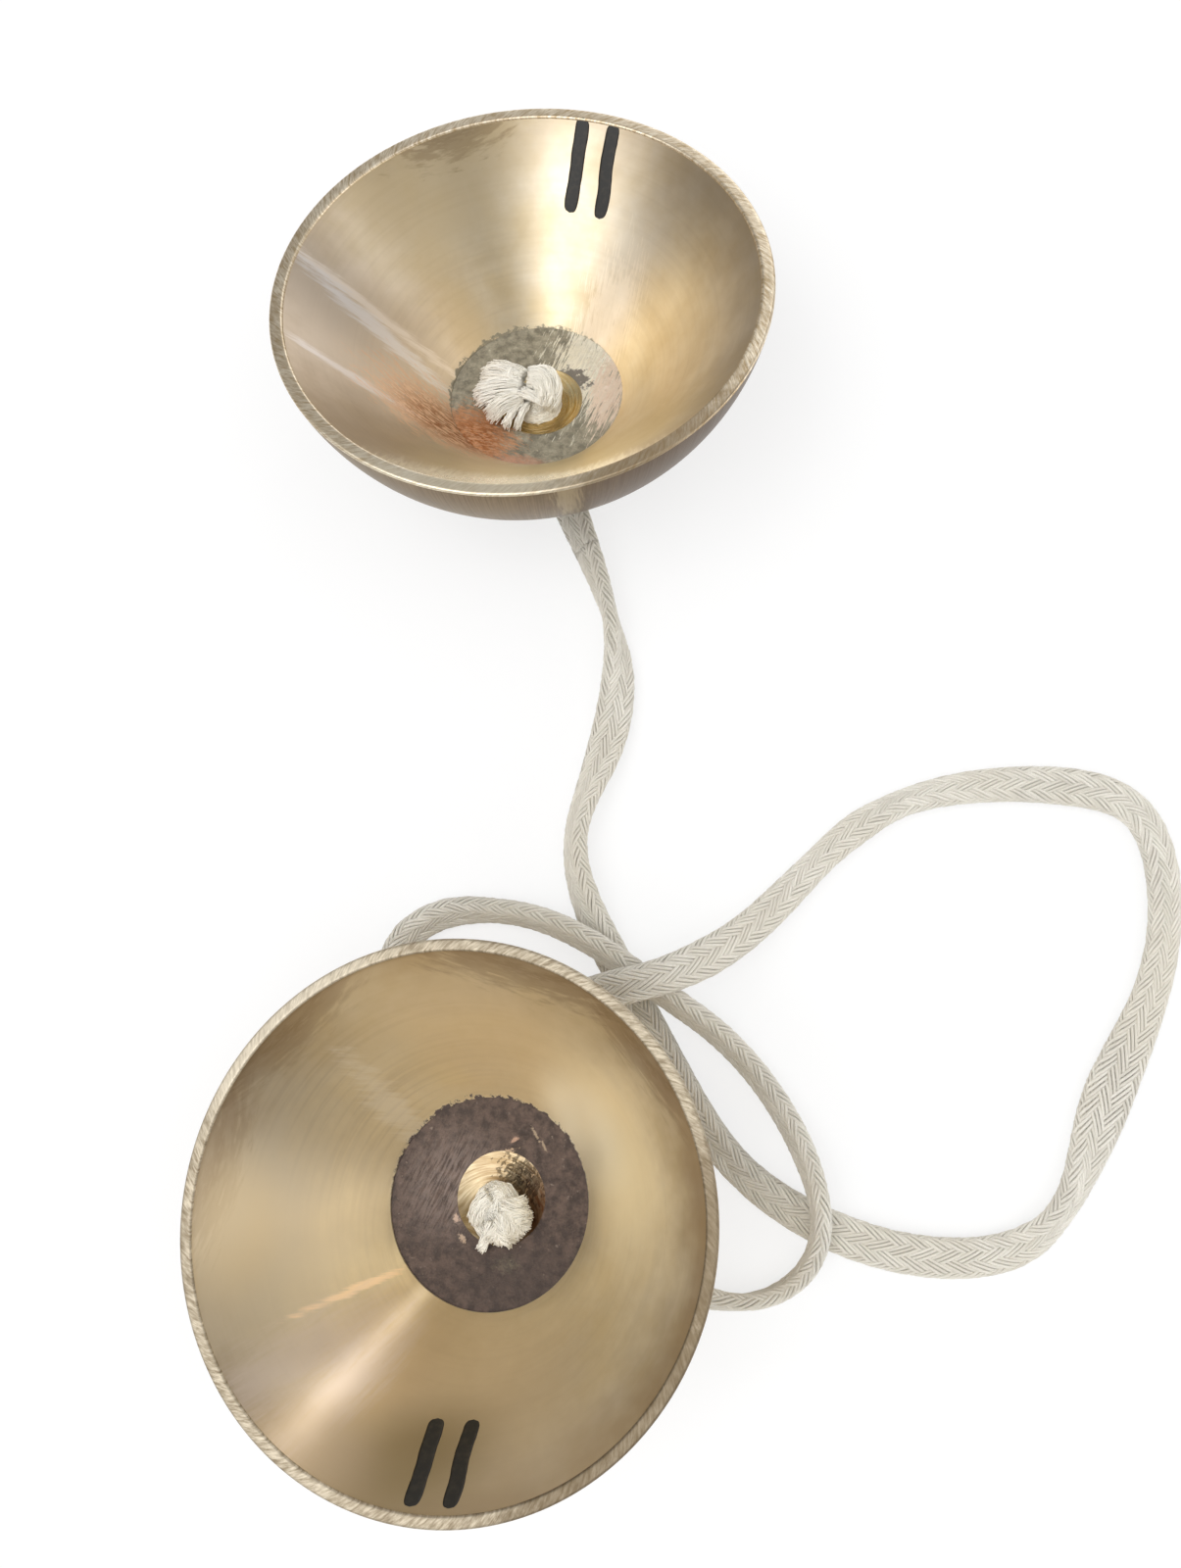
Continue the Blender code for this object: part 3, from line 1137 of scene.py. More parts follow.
@dataclass(frozen=True)
class Course:
    """The way the cord takes, in millimetres.

    Each of its close points has a place along the cord, the flat braid's own two directions, and
    half its thickness and its width there.
    """

    line: np.ndarray
    along: np.ndarray
    across: np.ndarray
    upright: np.ndarray
    half: np.ndarray
    wide: np.ndarray

    def place_of(self, side: Side, reach: float) -> float:
        """How far along the cord its free piece begins or ends, this far from a cup's contact."""
        contact = np.array(Seat(side).contact) / MM
        away = np.linalg.norm(self.line[:, :2] - contact[:2], axis=1)
        far = np.flatnonzero(away >= reach)
        return float(self.along[far[0] - 1 if side is Side.UPPER else far[-1]])

    def rows_at(self, places: np.ndarray, rows: np.ndarray) -> np.ndarray:
        """The rows' values at places along the cord."""
        return np.stack([np.interp(places, self.along, row) for row in rows.T], axis=1)

    def skin(
        self, places: np.ndarray, share: np.ndarray, proud: np.ndarray
    ) -> tuple[np.ndarray, np.ndarray]:
        """Points on the braid's skin, which is flat above and below, and round at its sides.

        Args:
            places: How far along the cord each point is, in millimetres.
            share: How far round it each point is, from 0 to 1.
            proud: How far out of the skin each point is.

        Returns:
            The points, and the directions that point out of the skin.
        """
        half = np.interp(places, self.along, self.half)
        flat = np.interp(places, self.along, self.wide) - half
        bend = math.pi * half
        girth = 4.0 * flat + 2.0 * math.pi * half
        run = (share % 1.0) * girth
        right = (run - flat) / half
        left = (run - 3.0 * flat - bend) / half
        ends = (flat, flat + bend, 3.0 * flat + bend, 3.0 * flat + 2.0 * bend)
        zero, one = np.zeros_like(run), np.ones_like(run)
        # For each part of the way round: the place across, upright, and the same two outwards
        parts = (
            (run, half, zero, one),
            (flat + half * np.sin(right), half * np.cos(right), np.sin(right), np.cos(right)),
            (2.0 * flat + bend - run, -half, zero, -one),
            (-flat - half * np.sin(left), -half * np.cos(left), -np.sin(left), -np.cos(left)),
        )
        last = (run - girth, half, zero, one)
        x, z, out_x, out_z = (
            np.select([run < end for end in ends], [part[k] for part in parts], last[k])[:, None]
            for k in range(4)
        )
        across = normalised(self.rows_at(places, self.across))
        upright = normalised(self.rows_at(places, self.upright))
        out = normalised(across * out_x + upright * out_z)
        middle = self.rows_at(places, self.line)
        return middle + across * x + upright * z + out * proud[:, None], out


@dataclass(frozen=True)
class LaidCord:
    """The cord's pieces by name, the middle of its free stretch and its length, in metres."""

    pieces: dict[str, bpy.types.Object]
    middle: np.ndarray
    length: float


@dataclass(frozen=True)
class Braid:
    """The cord: a flat hollow braid of sixteen carriers, each of three plied yarns.

    Sizes are in millimetres. The weave is how far a yarn goes up and down, and its squareness how
    quickly. The cord's turns are evened out over the settling, a number of the line's steps. It
    runs up inside each hole by the heights in_hole, and squeezed under each cup it passes the
    places under_cup, which are how far from the axis and how high they are.
    """

    lays: tuple[Lay, ...]
    yarn: CottonYarn
    core: CottonYarn
    carriers: int = 8
    plies: int = 3
    pitch: float = 23.0
    girth: float = 10.4
    weave: float = 0.18
    squareness: float = 2.2
    wobble: float = 0.03
    yarn_half_width: float = 0.215
    yarn_half_height: float = 0.17
    step: float = 0.6
    line_step: float = 0.25
    settling: int = 16
    clearance: float = 0.05
    sides: int = 6
    lining_sides: int = 20
    lining_depth: float = 0.10
    end_reach: float = 30.0
    in_hole: tuple[float, float] = (4.3, 2.4)
    under_cup: tuple[tuple[float, float], ...] = ((1.5, 1.6), (4.2, 1.0))

    def way_in(self, side: Side, first: np.ndarray) -> list[np.ndarray]:
        """The hidden stretch from inside a cup's hole to where the route starts.

        Args:
            side: The cup.
            first: The route's nearest point.

        Returns:
            Its points in metres.
        """
        seat = Seat(side)
        crown, axis = np.array(seat.crown), np.array(seat.axis)
        way = (first - crown) * FLAT
        way = way / np.linalg.norm(way)
        points = [crown + axis * height * MM for height in self.in_hole]
        for aside, height in self.under_cup:
            lifted = np.array([0.0, 0.0, height * MM])
            points.append(crown * FLAT + way * aside * MM + lifted)
        return points

    def course(self) -> Course:
        """Lays the cord along its route, on the table and turned as its lays say.

        Returns:
            The cord's course.
        """
        route = np.array(ROUTE)
        start, end = self.way_in(Side.UPPER, route[0]), self.way_in(Side.LOWER, route[-1])
        lead = len(start)
        points = np.array([*start, *route, *end[::-1]])
        line, marks = spline(points / MM, self.line_step)
        along = np.arange(len(line)) * self.line_step
        at = np.interp([lay.station for lay in self.lays], np.arange(len(points)) - lead, marks)
        roll, half, girth = (
            softened(np.interp(along, at, [getattr(lay, kind) for lay in self.lays]), self.settling)
            for kind in ("roll", "half", "girth")
        )
        roll = np.radians(roll)
        wide = (girth * self.girth - 2.0 * math.pi * half) / 4.0 + half
        proud = self.weave + self.yarn_half_height
        # On edge the braid needs more room over the table than lying flat
        tall = half + (wide - half) * np.abs(np.sin(roll)) + proud
        on_table = (along > marks[lead - 1]) & (along < marks[-lead])
        raised = np.where(on_table, np.maximum(line[:, 2], tall + self.clearance), line[:, 2])
        line[:, 2] = np.where(on_table, softened(raised, self.settling // 2), line[:, 2])
        tangent = normalised(np.gradient(line, axis=0))
        side = normalised(np.cross(np.array([0.0, 0.0, 1.0]), tangent))
        top = np.cross(tangent, side)
        cos, sin = np.cos(roll)[:, None], np.sin(roll)[:, None]
        return Course(line, along, side * cos + top * sin, top * cos - side * sin, half, wide)

    def build(self) -> LaidCord:
        """Makes the cord in three pieces: an end at each cup, and the free stretch between them.

        Returns:
            The cord.
        """
        course = self.course()
        length = course.along[-1]
        free = [course.place_of(side, self.end_reach) for side in Side]
        places = np.linspace(0.0, length, int(length / self.step) + 1)
        rings = [int(round(cut / length * (len(places) - 1))) for cut in (0.0, *free, length)]
        tubes, shades = self.yarns(course, places)
        inside = self.lining(course, places)
        cotton, inner = self.yarn.build(), self.core.build()
        pieces = {}
        names = ("upper_braid_end", "cord_braid", "lower_braid_end")
        for name, start, end in zip(names, rings, rings[1:]):
            run = slice(start, end + 1)
            braid = tubes_object(name, [tube[run] for tube in tubes], shades)
            lining = tubes_object(f"{name}_lining", [inside[run]], [0.0])
            for obj, finish in ((braid, cotton), (lining, inner)):
                obj.data.materials.append(finish)
                pieces[obj.name] = obj
            long = places[end] - places[start]
            LOG.info("%s: %.0f mm, %d faces", name, long, len(braid.data.polygons))
        seen = (course.along >= free[0]) & (course.along <= free[1])
        return LaidCord(pieces, course.line[seen][::6] * MM, length * MM)

    def yarns(self, course: Course, places: np.ndarray) -> tuple[list[np.ndarray], list[float]]:
        """The yarns of the whole cord, half of them turning each way round it.

        Args:
            course: The cord's course.
            places: How far along the cord each ring of a yarn is, in millimetres.

        Returns:
            A tube in metres and a tone for each yarn.
        """
        draw = np.random.default_rng(SEED)
        tubes, shades = [], []
        crossing = 2.0 * self.carriers * places / self.pitch
        steep = math.atan(self.girth / self.pitch)
        gap = 2.0 * self.yarn_half_width / math.cos(steep) / self.girth
        size = (self.yarn_half_width, self.yarn_half_height, self.sides)
        for sense in (1.0, -1.0):
            for carrier in range(self.carriers):
                tone = draw.uniform(0.55, 1.0)
                for ply in range(self.plies):
                    aside = (ply - (self.plies - 1) / 2) * gap
                    share = carrier / self.carriers + sense * places / self.pitch + aside
                    # A carrier goes over two others and under two by turns
                    count = 2.0 * carrier + self.carriers * aside + sense * crossing
                    wave = np.tanh(self.squareness * np.cos((count - 0.5) * math.pi / 2.0))
                    proud = sense * self.weave * wave / math.tanh(self.squareness)
                    wobble = softened(draw.normal(0.0, 1.0, len(places)), 2)
                    centres, out = course.skin(places, share, proud + self.wobble * wobble)
                    tubes.append(sweep(centres, out, *size) * MM)
                    shades.append(float(np.clip(tone + draw.uniform(-0.2, 0.2), 0.0, 1.0)))
        return tubes, shades

    def lining(self, course: Course, places: np.ndarray) -> np.ndarray:
        """The inside of the hollow braid, which shows through its gaps.

        Args:
            course: The cord's course.
            places: How far along the cord each of its rings is, in millimetres.

        Returns:
            One tube in metres.
        """
        depth = np.full(len(places), -self.weave - self.lining_depth)
        rings = []
        for k in range(self.lining_sides):
            share = np.full(len(places), k / self.lining_sides)
            rings.append(course.skin(places, share, depth)[0])
        return np.stack(rings, axis=1)[:, ::-1] * MM


@dataclass(frozen=True)
class Lock:
    """A lock of unlaid yarn in the cup's frame: lengths in millimetres, turns in degrees.

    It leaves its root on its heading, turns by its curl on the way, and goes from its rise over the
    floor down to its drop. Its width grows by its flare, and its fibres end bluntly.
    """

    root: tuple[float, float]
    heading: float
    reach: float
    width: float
    thick: float
    fibres: int
    curl: float = 0.0
    rise: float = 2.6
    drop: float = 0.7
    arch: float = 0.7
    flare: float = 1.2
    twist: float = 25.0


@dataclass(frozen=True)
class Tuft:
    """The frayed end of the cord, on its stopper knot inside a cup.

    Sizes are in millimetres. The body is the knot's half length, half width and height, and it
    leans over to body_at. The winding is how many fibres lie over it, and the seam is how far its
    foot goes into the wall of the hole.
    """

    side: Side
    locks: tuple[Lock, ...]
    cotton: bpy.types.Material
    body: tuple[float, float, float]
    body_at: tuple[float, float]
    winding: int = 0
    fibre: float = 0.06
    steps: int = 13
    sides: int = 4
    stray: float = 0.24
    seam: float = 0.12
    around: int = 28
    levels: int = 16
    shape: CupShape = CupShape()

    def build(self) -> bpy.types.Object:
        """Makes the tuft and lets it ride with the knot.

        Returns:
            The tuft's object.
        """
        draw = np.random.default_rng(SEED + len(self.side.value))
        tubes, shades = [], []
        for lock in self.locks:
            tone = draw.uniform(0.55, 0.95)
            for line, thin in self.fibres(lock, draw):
                tubes.append(self.tube(line, thin))
                shades.append(float(np.clip(tone + draw.uniform(-0.25, 0.25), 0.0, 1.0)))
        for line in self.windings(draw):
            tubes.append(self.tube(line, np.ones(self.steps)))
            shades.append(draw.uniform(0.45, 1.0))
        name = f"{self.side.value}_tuft"
        tubes.append(self.knot() * MM)
        shades.append(0.5)
        obj = tubes_object(name, tubes, shades, Seat(self.side).place)
        obj.data.materials.append(self.cotton)
        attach(obj, f"{self.side.value}_knot")
        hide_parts(f"{self.side.value}_knot")
        LOG.info("%s: %d faces", name, len(obj.data.polygons))
        return obj

    def tube(self, line: np.ndarray, thin: np.ndarray) -> np.ndarray:
        """A fibre along a line in millimetres, this thin at each point, as a tube in metres."""
        round_it = sweep(line, np.array(NEARLY_UP), self.fibre, self.fibre, self.sides)
        return (line[:, None] + (round_it - line[:, None]) * thin[:, None, None]) * MM

    def fibres(
        self, lock: Lock, draw: np.random.Generator
    ) -> list[tuple[np.ndarray, np.ndarray]]:
        """The fibres of one lock.

        Args:
            lock: The lock.
            draw: The source of its small differences.

        Returns:
            Each fibre's line in millimetres, and how thick it is along that line.
        """
        floor = self.shape.floor / MM
        made = []
        for _ in range(lock.fibres):
            spin = draw.uniform(0.0, 2.0 * math.pi)
            away = math.sqrt(draw.uniform(0.0, 1.0))
            full = 1.0 - 0.20 * draw.uniform() - 0.10 * (away * math.cos(spin)) ** 2
            along = np.linspace(0.0, full, self.steps)
            turn = np.radians(lock.heading + lock.curl * along)
            stride = lock.reach * full / (self.steps - 1)
            phase = spin + math.radians(lock.twist) * along
            fan = 1.0 + (lock.flare - 1.0) * along**1.4
            stray = self.stray * softened(draw.normal(0.0, 1.0, self.steps), 3)
            aside = away * np.cos(phase) * lock.width / 2 * fan + stray
            above = away * np.sin(phase) * lock.thick / 2 * (1.0 - 0.35 * along)
            x = lock.root[0] + np.cumsum(np.cos(turn)) * stride - np.sin(turn) * aside
            y = lock.root[1] + np.cumsum(np.sin(turn)) * stride + np.cos(turn) * aside
            z = floor + lock.rise + (lock.drop - lock.rise) * along + above
            z = z + lock.arch * np.sin(math.pi * along)
            z = z + self.stray * softened(draw.normal(0.0, 1.0, self.steps), 3)
            z = np.maximum(z, floor + 0.15)
            thin = np.clip(1.5 - 0.7 * along**3, 0.5, 1.0)
            made.append((np.stack([x, y, z], axis=1), thin))
        return made

    def body_point(self, turn: np.ndarray, share: np.ndarray, grown: np.ndarray) -> np.ndarray:
        """Points on the knot's lumpy body, in millimetres.

        Args:
            turn: The angles round it.
            share: How far up it the points are, from 0 to 1.
            grown: How far out of it they are.

        Returns:
            The points, one row each.
        """
        long, wide, high = self.body
        # It swells and closes again to the top, with broad and fine lumps round it
        swell = np.sin(math.pi * (0.36 + 0.64 * share)) ** 0.6
        lump = 1.0 + 0.05 * np.sin(3.0 * turn + 5.0 * share) + 0.03 * np.sin(7.0 * turn)
        # Its lowest part narrows to a plug in the hole
        seated = np.clip(1.0 - share / 0.3, 0.0, 1.0)
        plug = self.shape.hole_radius / MM + self.seam
        reach_x = (long * swell * lump + grown) * (1.0 - seated) + plug * seated
        reach_y = (wide * swell * lump + grown) * (1.0 - seated) + plug * seated
        x = self.body_at[0] * share + reach_x * np.cos(turn)
        y = self.body_at[1] * share + reach_y * np.sin(turn)
        foot = (self.shape.floor - 0.88 * self.shape.sink_depth) / MM
        z = foot + share * (high + 0.9) + grown * (1.0 - seated)
        return np.stack([x, y, z], axis=-1)

    def windings(self, draw: np.random.Generator) -> list[np.ndarray]:
        """Fibres that lie over the knot's body, each in an arc from one spot of it to another.

        Args:
            draw: The source of their places.

        Returns:
            Each fibre's line in millimetres.
        """
        heart = np.array([*(0.6 * np.array(self.body_at)), self.shape.floor / MM + 0.8])
        share = np.linspace(0.0, 1.0, self.steps)[:, None]
        made = []
        for _ in range(self.winding):
            turn = draw.uniform(0.0, 2.0 * math.pi)
            low = 1.0 - draw.uniform(0.0, 0.95)
            across = draw.uniform(0.4, 1.2) / max(1.0 - low, 0.3)
            ends = np.array([turn, turn + across])
            levels = np.clip(low + draw.uniform(-0.2, 0.2, 2), 0.03, 0.97)
            start, end = self.body_point(ends, levels, draw.uniform(0.0, 0.25, 2))
            out = normalised((start + end) / 2.0 - heart)
            bulge = np.linalg.norm(end - start) ** 2 / (8.0 * self.body[0]) + draw.uniform(0.0, 0.3)
            line = start + (end - start) * share + out * 4.0 * share * (1.0 - share) * bulge
            wander = [softened(draw.normal(0.0, 0.16, self.steps), 3) for _ in range(3)]
            made.append(line + np.stack(wander, axis=1))
        return made

    def knot(self) -> np.ndarray:
        """The lumpy body of the tuft, in millimetres.

        Returns:
            One tube from the floor of the cup to its top.
        """
        turn = np.arange(self.around) * 2.0 * math.pi / self.around
        shares = np.sin(np.linspace(0.02, 0.998, self.levels) * math.pi / 2)
        return np.stack([self.body_point(turn, share + 0.0 * turn, 0.0 * turn) for share in shares])


@dataclass(frozen=True)
class SoftPanel:
    """A soft pale panel of the room: its tilt from overhead and its turn from the picture's right,
    in degrees, how quickly it fades to its sides, and its strength."""

    tilt: float
    turn: float
    fade: float
    strength: float

    @property
    def direction(self) -> tuple[float, float, float]:
        """The direction of the panel's middle."""
        tilt, turn = math.radians(self.tilt), math.radians(self.turn)
        return (math.sin(tilt) * math.cos(turn), math.sin(tilt) * math.sin(turn), math.cos(tilt))


@dataclass(frozen=True)
class SmallLamp:
    """A small square lamp: its direction from the pair, its side in metres and its brightness."""

    name: str
    direction: tuple[float, float, float]
    side: float
    brightness: float
    distance: float = 1.0


@dataclass(frozen=True)
class Studio:
    """The table, the light and the camera.

    The ambient is the strength of the even room behind its panels, and table_glow is how much of
    the table's white shows whatever shadow lies on it.
    """

    panels: tuple[SoftPanel, ...]
    lamps: tuple[SmallLamp, ...]
    ambient: float = 0.16
    table_half: float = 3.0
    table_top: float = -0.0002
    table_glow: float = 0.72
    camera_at: tuple[float, float, float] = (0.01246, -0.03483, 0.19419)
    elevation: float = 80.34
    focal_pixels: float = 1500.0
    sensor: float = 24.0

    def build(self) -> None:
        """Sets up all three."""
        self.table()
        self.world()
        for lamp in self.lamps:
            self.lamp(lamp)
        self.camera()
        bpy.context.scene.view_settings.view_transform = "Standard"
        LOG.info("studio")

    def table(self) -> None:
        """A plain white table, which shows as near white and keeps a soft shadow."""
        half = self.table_half
        corners = np.array([(-half, -half, 0), (half, -half, 0), (half, half, 0), (-half, half, 0)])
        floor = mesh_object("table", corners, [(0, 1, 2, 3)])
        floor.location.z = self.table_top
        material, shading = new_material("white_table")
        white = {"Color": linear(WHITE)}
        cloth = shading.add("ShaderNodeBsdfDiffuse", {**white, "Roughness": 0.0})
        glow = shading.add("ShaderNodeEmission", {**white, "Strength": 1.0})
        seen = path = shading.add("ShaderNodeLightPath", out="Is Camera Ray")
        for ray in ("Is Glossy Ray", "Is Transmission Ray"):
            seen = shading.math("MAXIMUM", seen, path.node.outputs[ray])
        share = shading.math("MULTIPLY", seen, self.table_glow)
        mixed = shading.add("ShaderNodeMixShader", {0: share, 1: cloth, 2: glow})
        shading.add("ShaderNodeOutputMaterial", {"Surface": mixed})
        floor.data.materials.append(material)

    def lamp(self, lamp: SmallLamp) -> None:
        """Hangs a lamp that points at the middle of the pair.

        Args:
            lamp: What to hang.
        """
        light = bpy.data.lights.new(lamp.name, "AREA")
        light.shape = "SQUARE"
        light.size = lamp.side
        # A lamp's power is its brightness times its area
        light.energy = lamp.brightness * math.pi * lamp.side**2
        hung = bpy.data.objects.new(lamp.name, light)
        bpy.context.scene.collection.objects.link(hung)
        way = Vector(lamp.direction).normalized()
        hung.location = way * lamp.distance
        hung.rotation_euler = (-way).to_track_quat("-Z", "Y").to_euler()

    def world(self) -> None:
        """A dim even room with its soft panels, white where the camera looks past the table."""
        world = bpy.data.worlds.new("soft_room")
        world.use_nodes = True
        world.node_tree.nodes.clear()
        shading = Shading(world.node_tree)
        spot = shading.add("ShaderNodeTexCoord", out="Generated")
        level: Value = self.ambient
        for panel in self.panels:
            facing = shading.vector("DOT_PRODUCT", spot, panel.direction, out="Value")
            power = shading.math("MULTIPLY_ADD", facing, panel.fade, -panel.fade)
            lobe = shading.math("EXPONENT", power)
            level = shading.math("MULTIPLY_ADD", lobe, panel.strength, level)
        seen = shading.add("ShaderNodeLightPath", out="Is Camera Ray")
        light = {"Color": linear(WHITE), "Strength": shading.fade(seen, level, 1.0)}
        shine = shading.add("ShaderNodeBackground", light)
        shading.add("ShaderNodeOutputWorld", {"Surface": shine})
        bpy.context.scene.world = world

    def camera(self) -> None:
        """The camera, which sees what the picture shows."""
        lens = bpy.data.cameras.new("camera")
        lens.sensor_fit = "VERTICAL"
        lens.sensor_height = self.sensor
        lens.lens = self.focal_pixels / PICTURE_HEIGHT * self.sensor
        lens.clip_start = 0.01
        lens.clip_end = 20.0
        eye = bpy.data.objects.new("camera", lens)
        bpy.context.scene.collection.objects.link(eye)
        eye.location = self.camera_at
        eye.rotation_euler = (math.radians(90.0 - self.elevation), 0.0, 0.0)
        bpy.context.scene.camera = eye


ROOM_PANELS = (
    SoftPanel(29.0, 208.0, 13.0, 3.7),
    SoftPanel(25.0, 162.0, 9.0, 0.9),
    SoftPanel(22.0, 0.0, 22.0, 1.7),
    SoftPanel(70.0, 49.0, 20.0, 0.35),
    SoftPanel(92.0, 355.0, 15.0, 6.0),
    SoftPanel(85.0, 76.0, 21.0, 2.8),
    SoftPanel(82.0, 270.0, 9.0, 0.9),
)

ROOM_LAMPS = (
    SmallLamp("lamp_overhead_left", (-0.32, 0.0, 0.95), 0.15, 4.5),
    SmallLamp("lamp_behind", (0.19, 0.85, 0.50), 0.12, 9.5),
)

UPPER_PATCH = (-0.2, 0.9, 11.8)
LOWER_PATCH = (-0.7, 1.5, 12.9)
UPPER_SHAPE = CupShape(rim_land=0.0018)
LOWER_SHAPE = CupShape(rim_land=0.0015)

UPPER_RIM_FILED = StrokedBellMetal(
    "filed_bell_metal_upper_rim",
    bright=0xF3E8D3,
    dull=0xBCA684,
    brown=0xA08A66,
    stroke=0.30,
    length=1.8,
    slant=48.0,
    browned=0.35,
    roughness=0.40,
    stains=(
        # Painted highlight on the front of the rim, and painted shade on its lower right
        Stain(-8.0, -31.0, 15.0, 7.0, 0.0, 0xF8EFD8, 0.45, 0.5),
        Stain(17.0, -26.0, 13.0, 6.0, 35.0, 0x8F7A5C, 0.70, 0.5),
    ),
)
LOWER_RIM_FILED = StrokedBellMetal(
    "filed_bell_metal_lower_rim",
    bright=0xDDD2BD,
    dull=0x9F917A,
    brown=0x8F7F68,
    stroke=0.30,
    length=1.8,
    slant=48.0,
    browned=0.30,
    roughness=0.60,
    stains=(
        # Painted shade on the rim's lower right and right, and painted light on its upper left
        Stain(22.0, -22.0, 21.0, 9.0, 45.0, 0x75654D, 0.75, 0.5),
        Stain(31.0, -3.0, 12.0, 6.0, 90.0, 0x84745C, 0.75, 0.5),
        Stain(-22.0, 22.0, 14.0, 7.0, 45.0, 0xE6DDCB, 0.5, 0.5),
    ),
)
# Olive-brown patina, made darker still by painted shade on the outer wall that turns away from the
# light
UPPER_OUTSIDE_RUBBED_PAINTED_SHADE = StrokedBellMetal(
    "rubbed_bell_metal_upper_outside_painted_shade",
    bright=0x8A7453,
    dull=0x7A6647,
    brown=0x645038,
    stroke=0.24,
    length=12.0,
    slant=2.0,
    browned=0.3,
    roughness=0.37,
    groove=0.22,
    stains=(
        # Painted shade, darker still to the lower right
        Stain(20.0, -24.0, 16.0, 12.0, 40.0, 0x5A4736, 0.75, 0.6, 0.6, (0.6, 9.0), 0.0),
        # Painted highlight: a thin soft streak along the bottom
        Stain(6.0, -31.0, 1.4, 4.0, 0.0, 0xC2AF8A, 0.5, 0.6, 1.6, (0.35, 6.0), 0.0),
    ),
)
LOWER_OUTSIDE_RUBBED = StrokedBellMetal(
    "rubbed_bell_metal_lower_outside",
    bright=0xDFCCAC,
    dull=0xD2BE9B,
    brown=0xBBA483,
    stroke=0.24,
    length=12.0,
    slant=2.0,
    browned=0.3,
    roughness=0.37,
    groove=0.22,
)
UPPER_SINK_CUT = StrokedBellMetal(
    "cut_bell_metal_upper_sink",
    bright=0xF3E2B4,
    dull=0xC9A765,
    brown=0x8A6A3A,
    stroke=30.0,
    length=0.22,
    slant=0.0,
    browned=0.35,
    roughness=0.26,
)
LOWER_SINK_CUT = StrokedBellMetal(
    "cut_bell_metal_lower_sink",
    bright=0xD8C8A8,
    dull=0xA38C66,
    brown=0x7E6244,
    stroke=30.0,
    length=0.22,
    slant=0.0,
    browned=0.35,
    roughness=0.40,
    stains=(
        # Painted shadow on the far wall of the hole: dark brown to its right and near black above
        Stain(5.6, 0.6, 2.9, 5.0, 0.0, 0x5C3720, 0.95, 0.6, 0.8, (0.5, 1.6), 20.0, 0.55, 0.2),
        Stain(3.6, 4.6, 2.8, 2.0, -40.0, 0x1E1A18, 0.95, 0.15, 2.6, (0.5, 0.8), -40.0, 0.7, 0.5),
    ),
)

BRAID_LAYS = (
    Lay(-4.0, 0.0, 1.15),
    Lay(-3.0, 0.0, 1.0),
    Lay(-1.0, 0.0, 0.45),
    Lay(0.0, 10.0, 0.6),
    Lay(0.5, 52.0),
    Lay(1.0, 84.0),
    Lay(1.45, 104.0),
    Lay(2.0, 155.0),
    Lay(2.5, 180.0),
    Lay(3.0, 218.0, 0.8),
    Lay(3.5, 242.0, 0.8),
    Lay(4.0, 250.0, 0.8),
    Lay(4.5, 246.0, 0.8),
    Lay(5.0, 237.0, 0.85),
    Lay(6.0, 206.0, 1.0),
    Lay(7.0, 190.0, 1.0),
    Lay(8.0, 215.0, 0.95, 0.95),
    Lay(8.5, 195.0, 1.0),
    Lay(9.0, 180.0, 0.9, 1.05),
    Lay(10.0, 180.0, 0.9, 1.06),
    Lay(10.7, 190.0, 0.95, 1.02),
    Lay(11.3, 232.0, 0.9),
    Lay(11.7, 222.0, 0.9),
    Lay(12.1, 195.0, 0.85, 1.06),
    Lay(12.5, 180.0, 0.7, 1.2),
    Lay(13.0, 180.0, 0.6, 1.28),
    Lay(13.5, 180.0, 0.75, 1.15),
    Lay(14.0, 185.0, 1.0),
    Lay(14.5, 195.0, 1.15),
    Lay(16.0, 190.0, 1.15),
    Lay(16.5, 180.0, 0.95, 1.05),
    Lay(17.0, 180.0, 0.9, 1.06),
    Lay(17.4, 188.0, 1.1),
    Lay(18.0, 235.0, 1.1, 0.93),
    Lay(18.5, 208.0, 1.15),
    Lay(19.0, 228.0, 1.1, 0.95),
    Lay(20.0, 190.0, 1.15),
    Lay(21.0, 180.0, 0.95, 1.05),
    Lay(22.0, 180.0, 1.1),
    Lay(24.0, 200.0, 1.0),
    Lay(26.0, 230.0, 0.9),
    Lay(27.5, 238.0, 0.85),
    Lay(28.0, 250.0, 0.85, 0.95),
    Lay(30.0, 246.0, 0.85, 0.95),
    Lay(32.0, 246.0, 0.85, 0.95),
    Lay(33.5, 250.0, 0.8, 0.95),
    Lay(34.2, 264.0),
    Lay(36.5, 270.0, 0.7, 0.92),
    Lay(37.1, 284.0, 0.7, 0.95),
    Lay(37.7, 312.0, 0.7),
    Lay(38.5, 345.0, 0.65),
    Lay(39.0, 360.0, 0.55),
    Lay(40.0, 360.0, 0.45),
    Lay(42.0, 360.0, 1.0),
    Lay(43.0, 360.0, 1.15),
)

BRAID_COTTON = CottonYarn("braided_cotton_yarn", light=0xE8E4DA, shadow=0xBFB9AC, tint=0xDCD6C8)
# Painted shade: the braid's inside is the same cotton, coloured darker so that the gaps between its
# yarns look dark
LINING_COTTON_PAINTED_SHADE = CottonYarn("cotton_braid_inside_painted_shade", light=0xC4BDAD, shadow=0xAAA28F, tint=0xB8B09E)
TUFT_COTTON = CottonYarn("frayed_cotton", light=0xFFFDF6, shadow=0xF2ECDE, tint=0xFAF6EA)


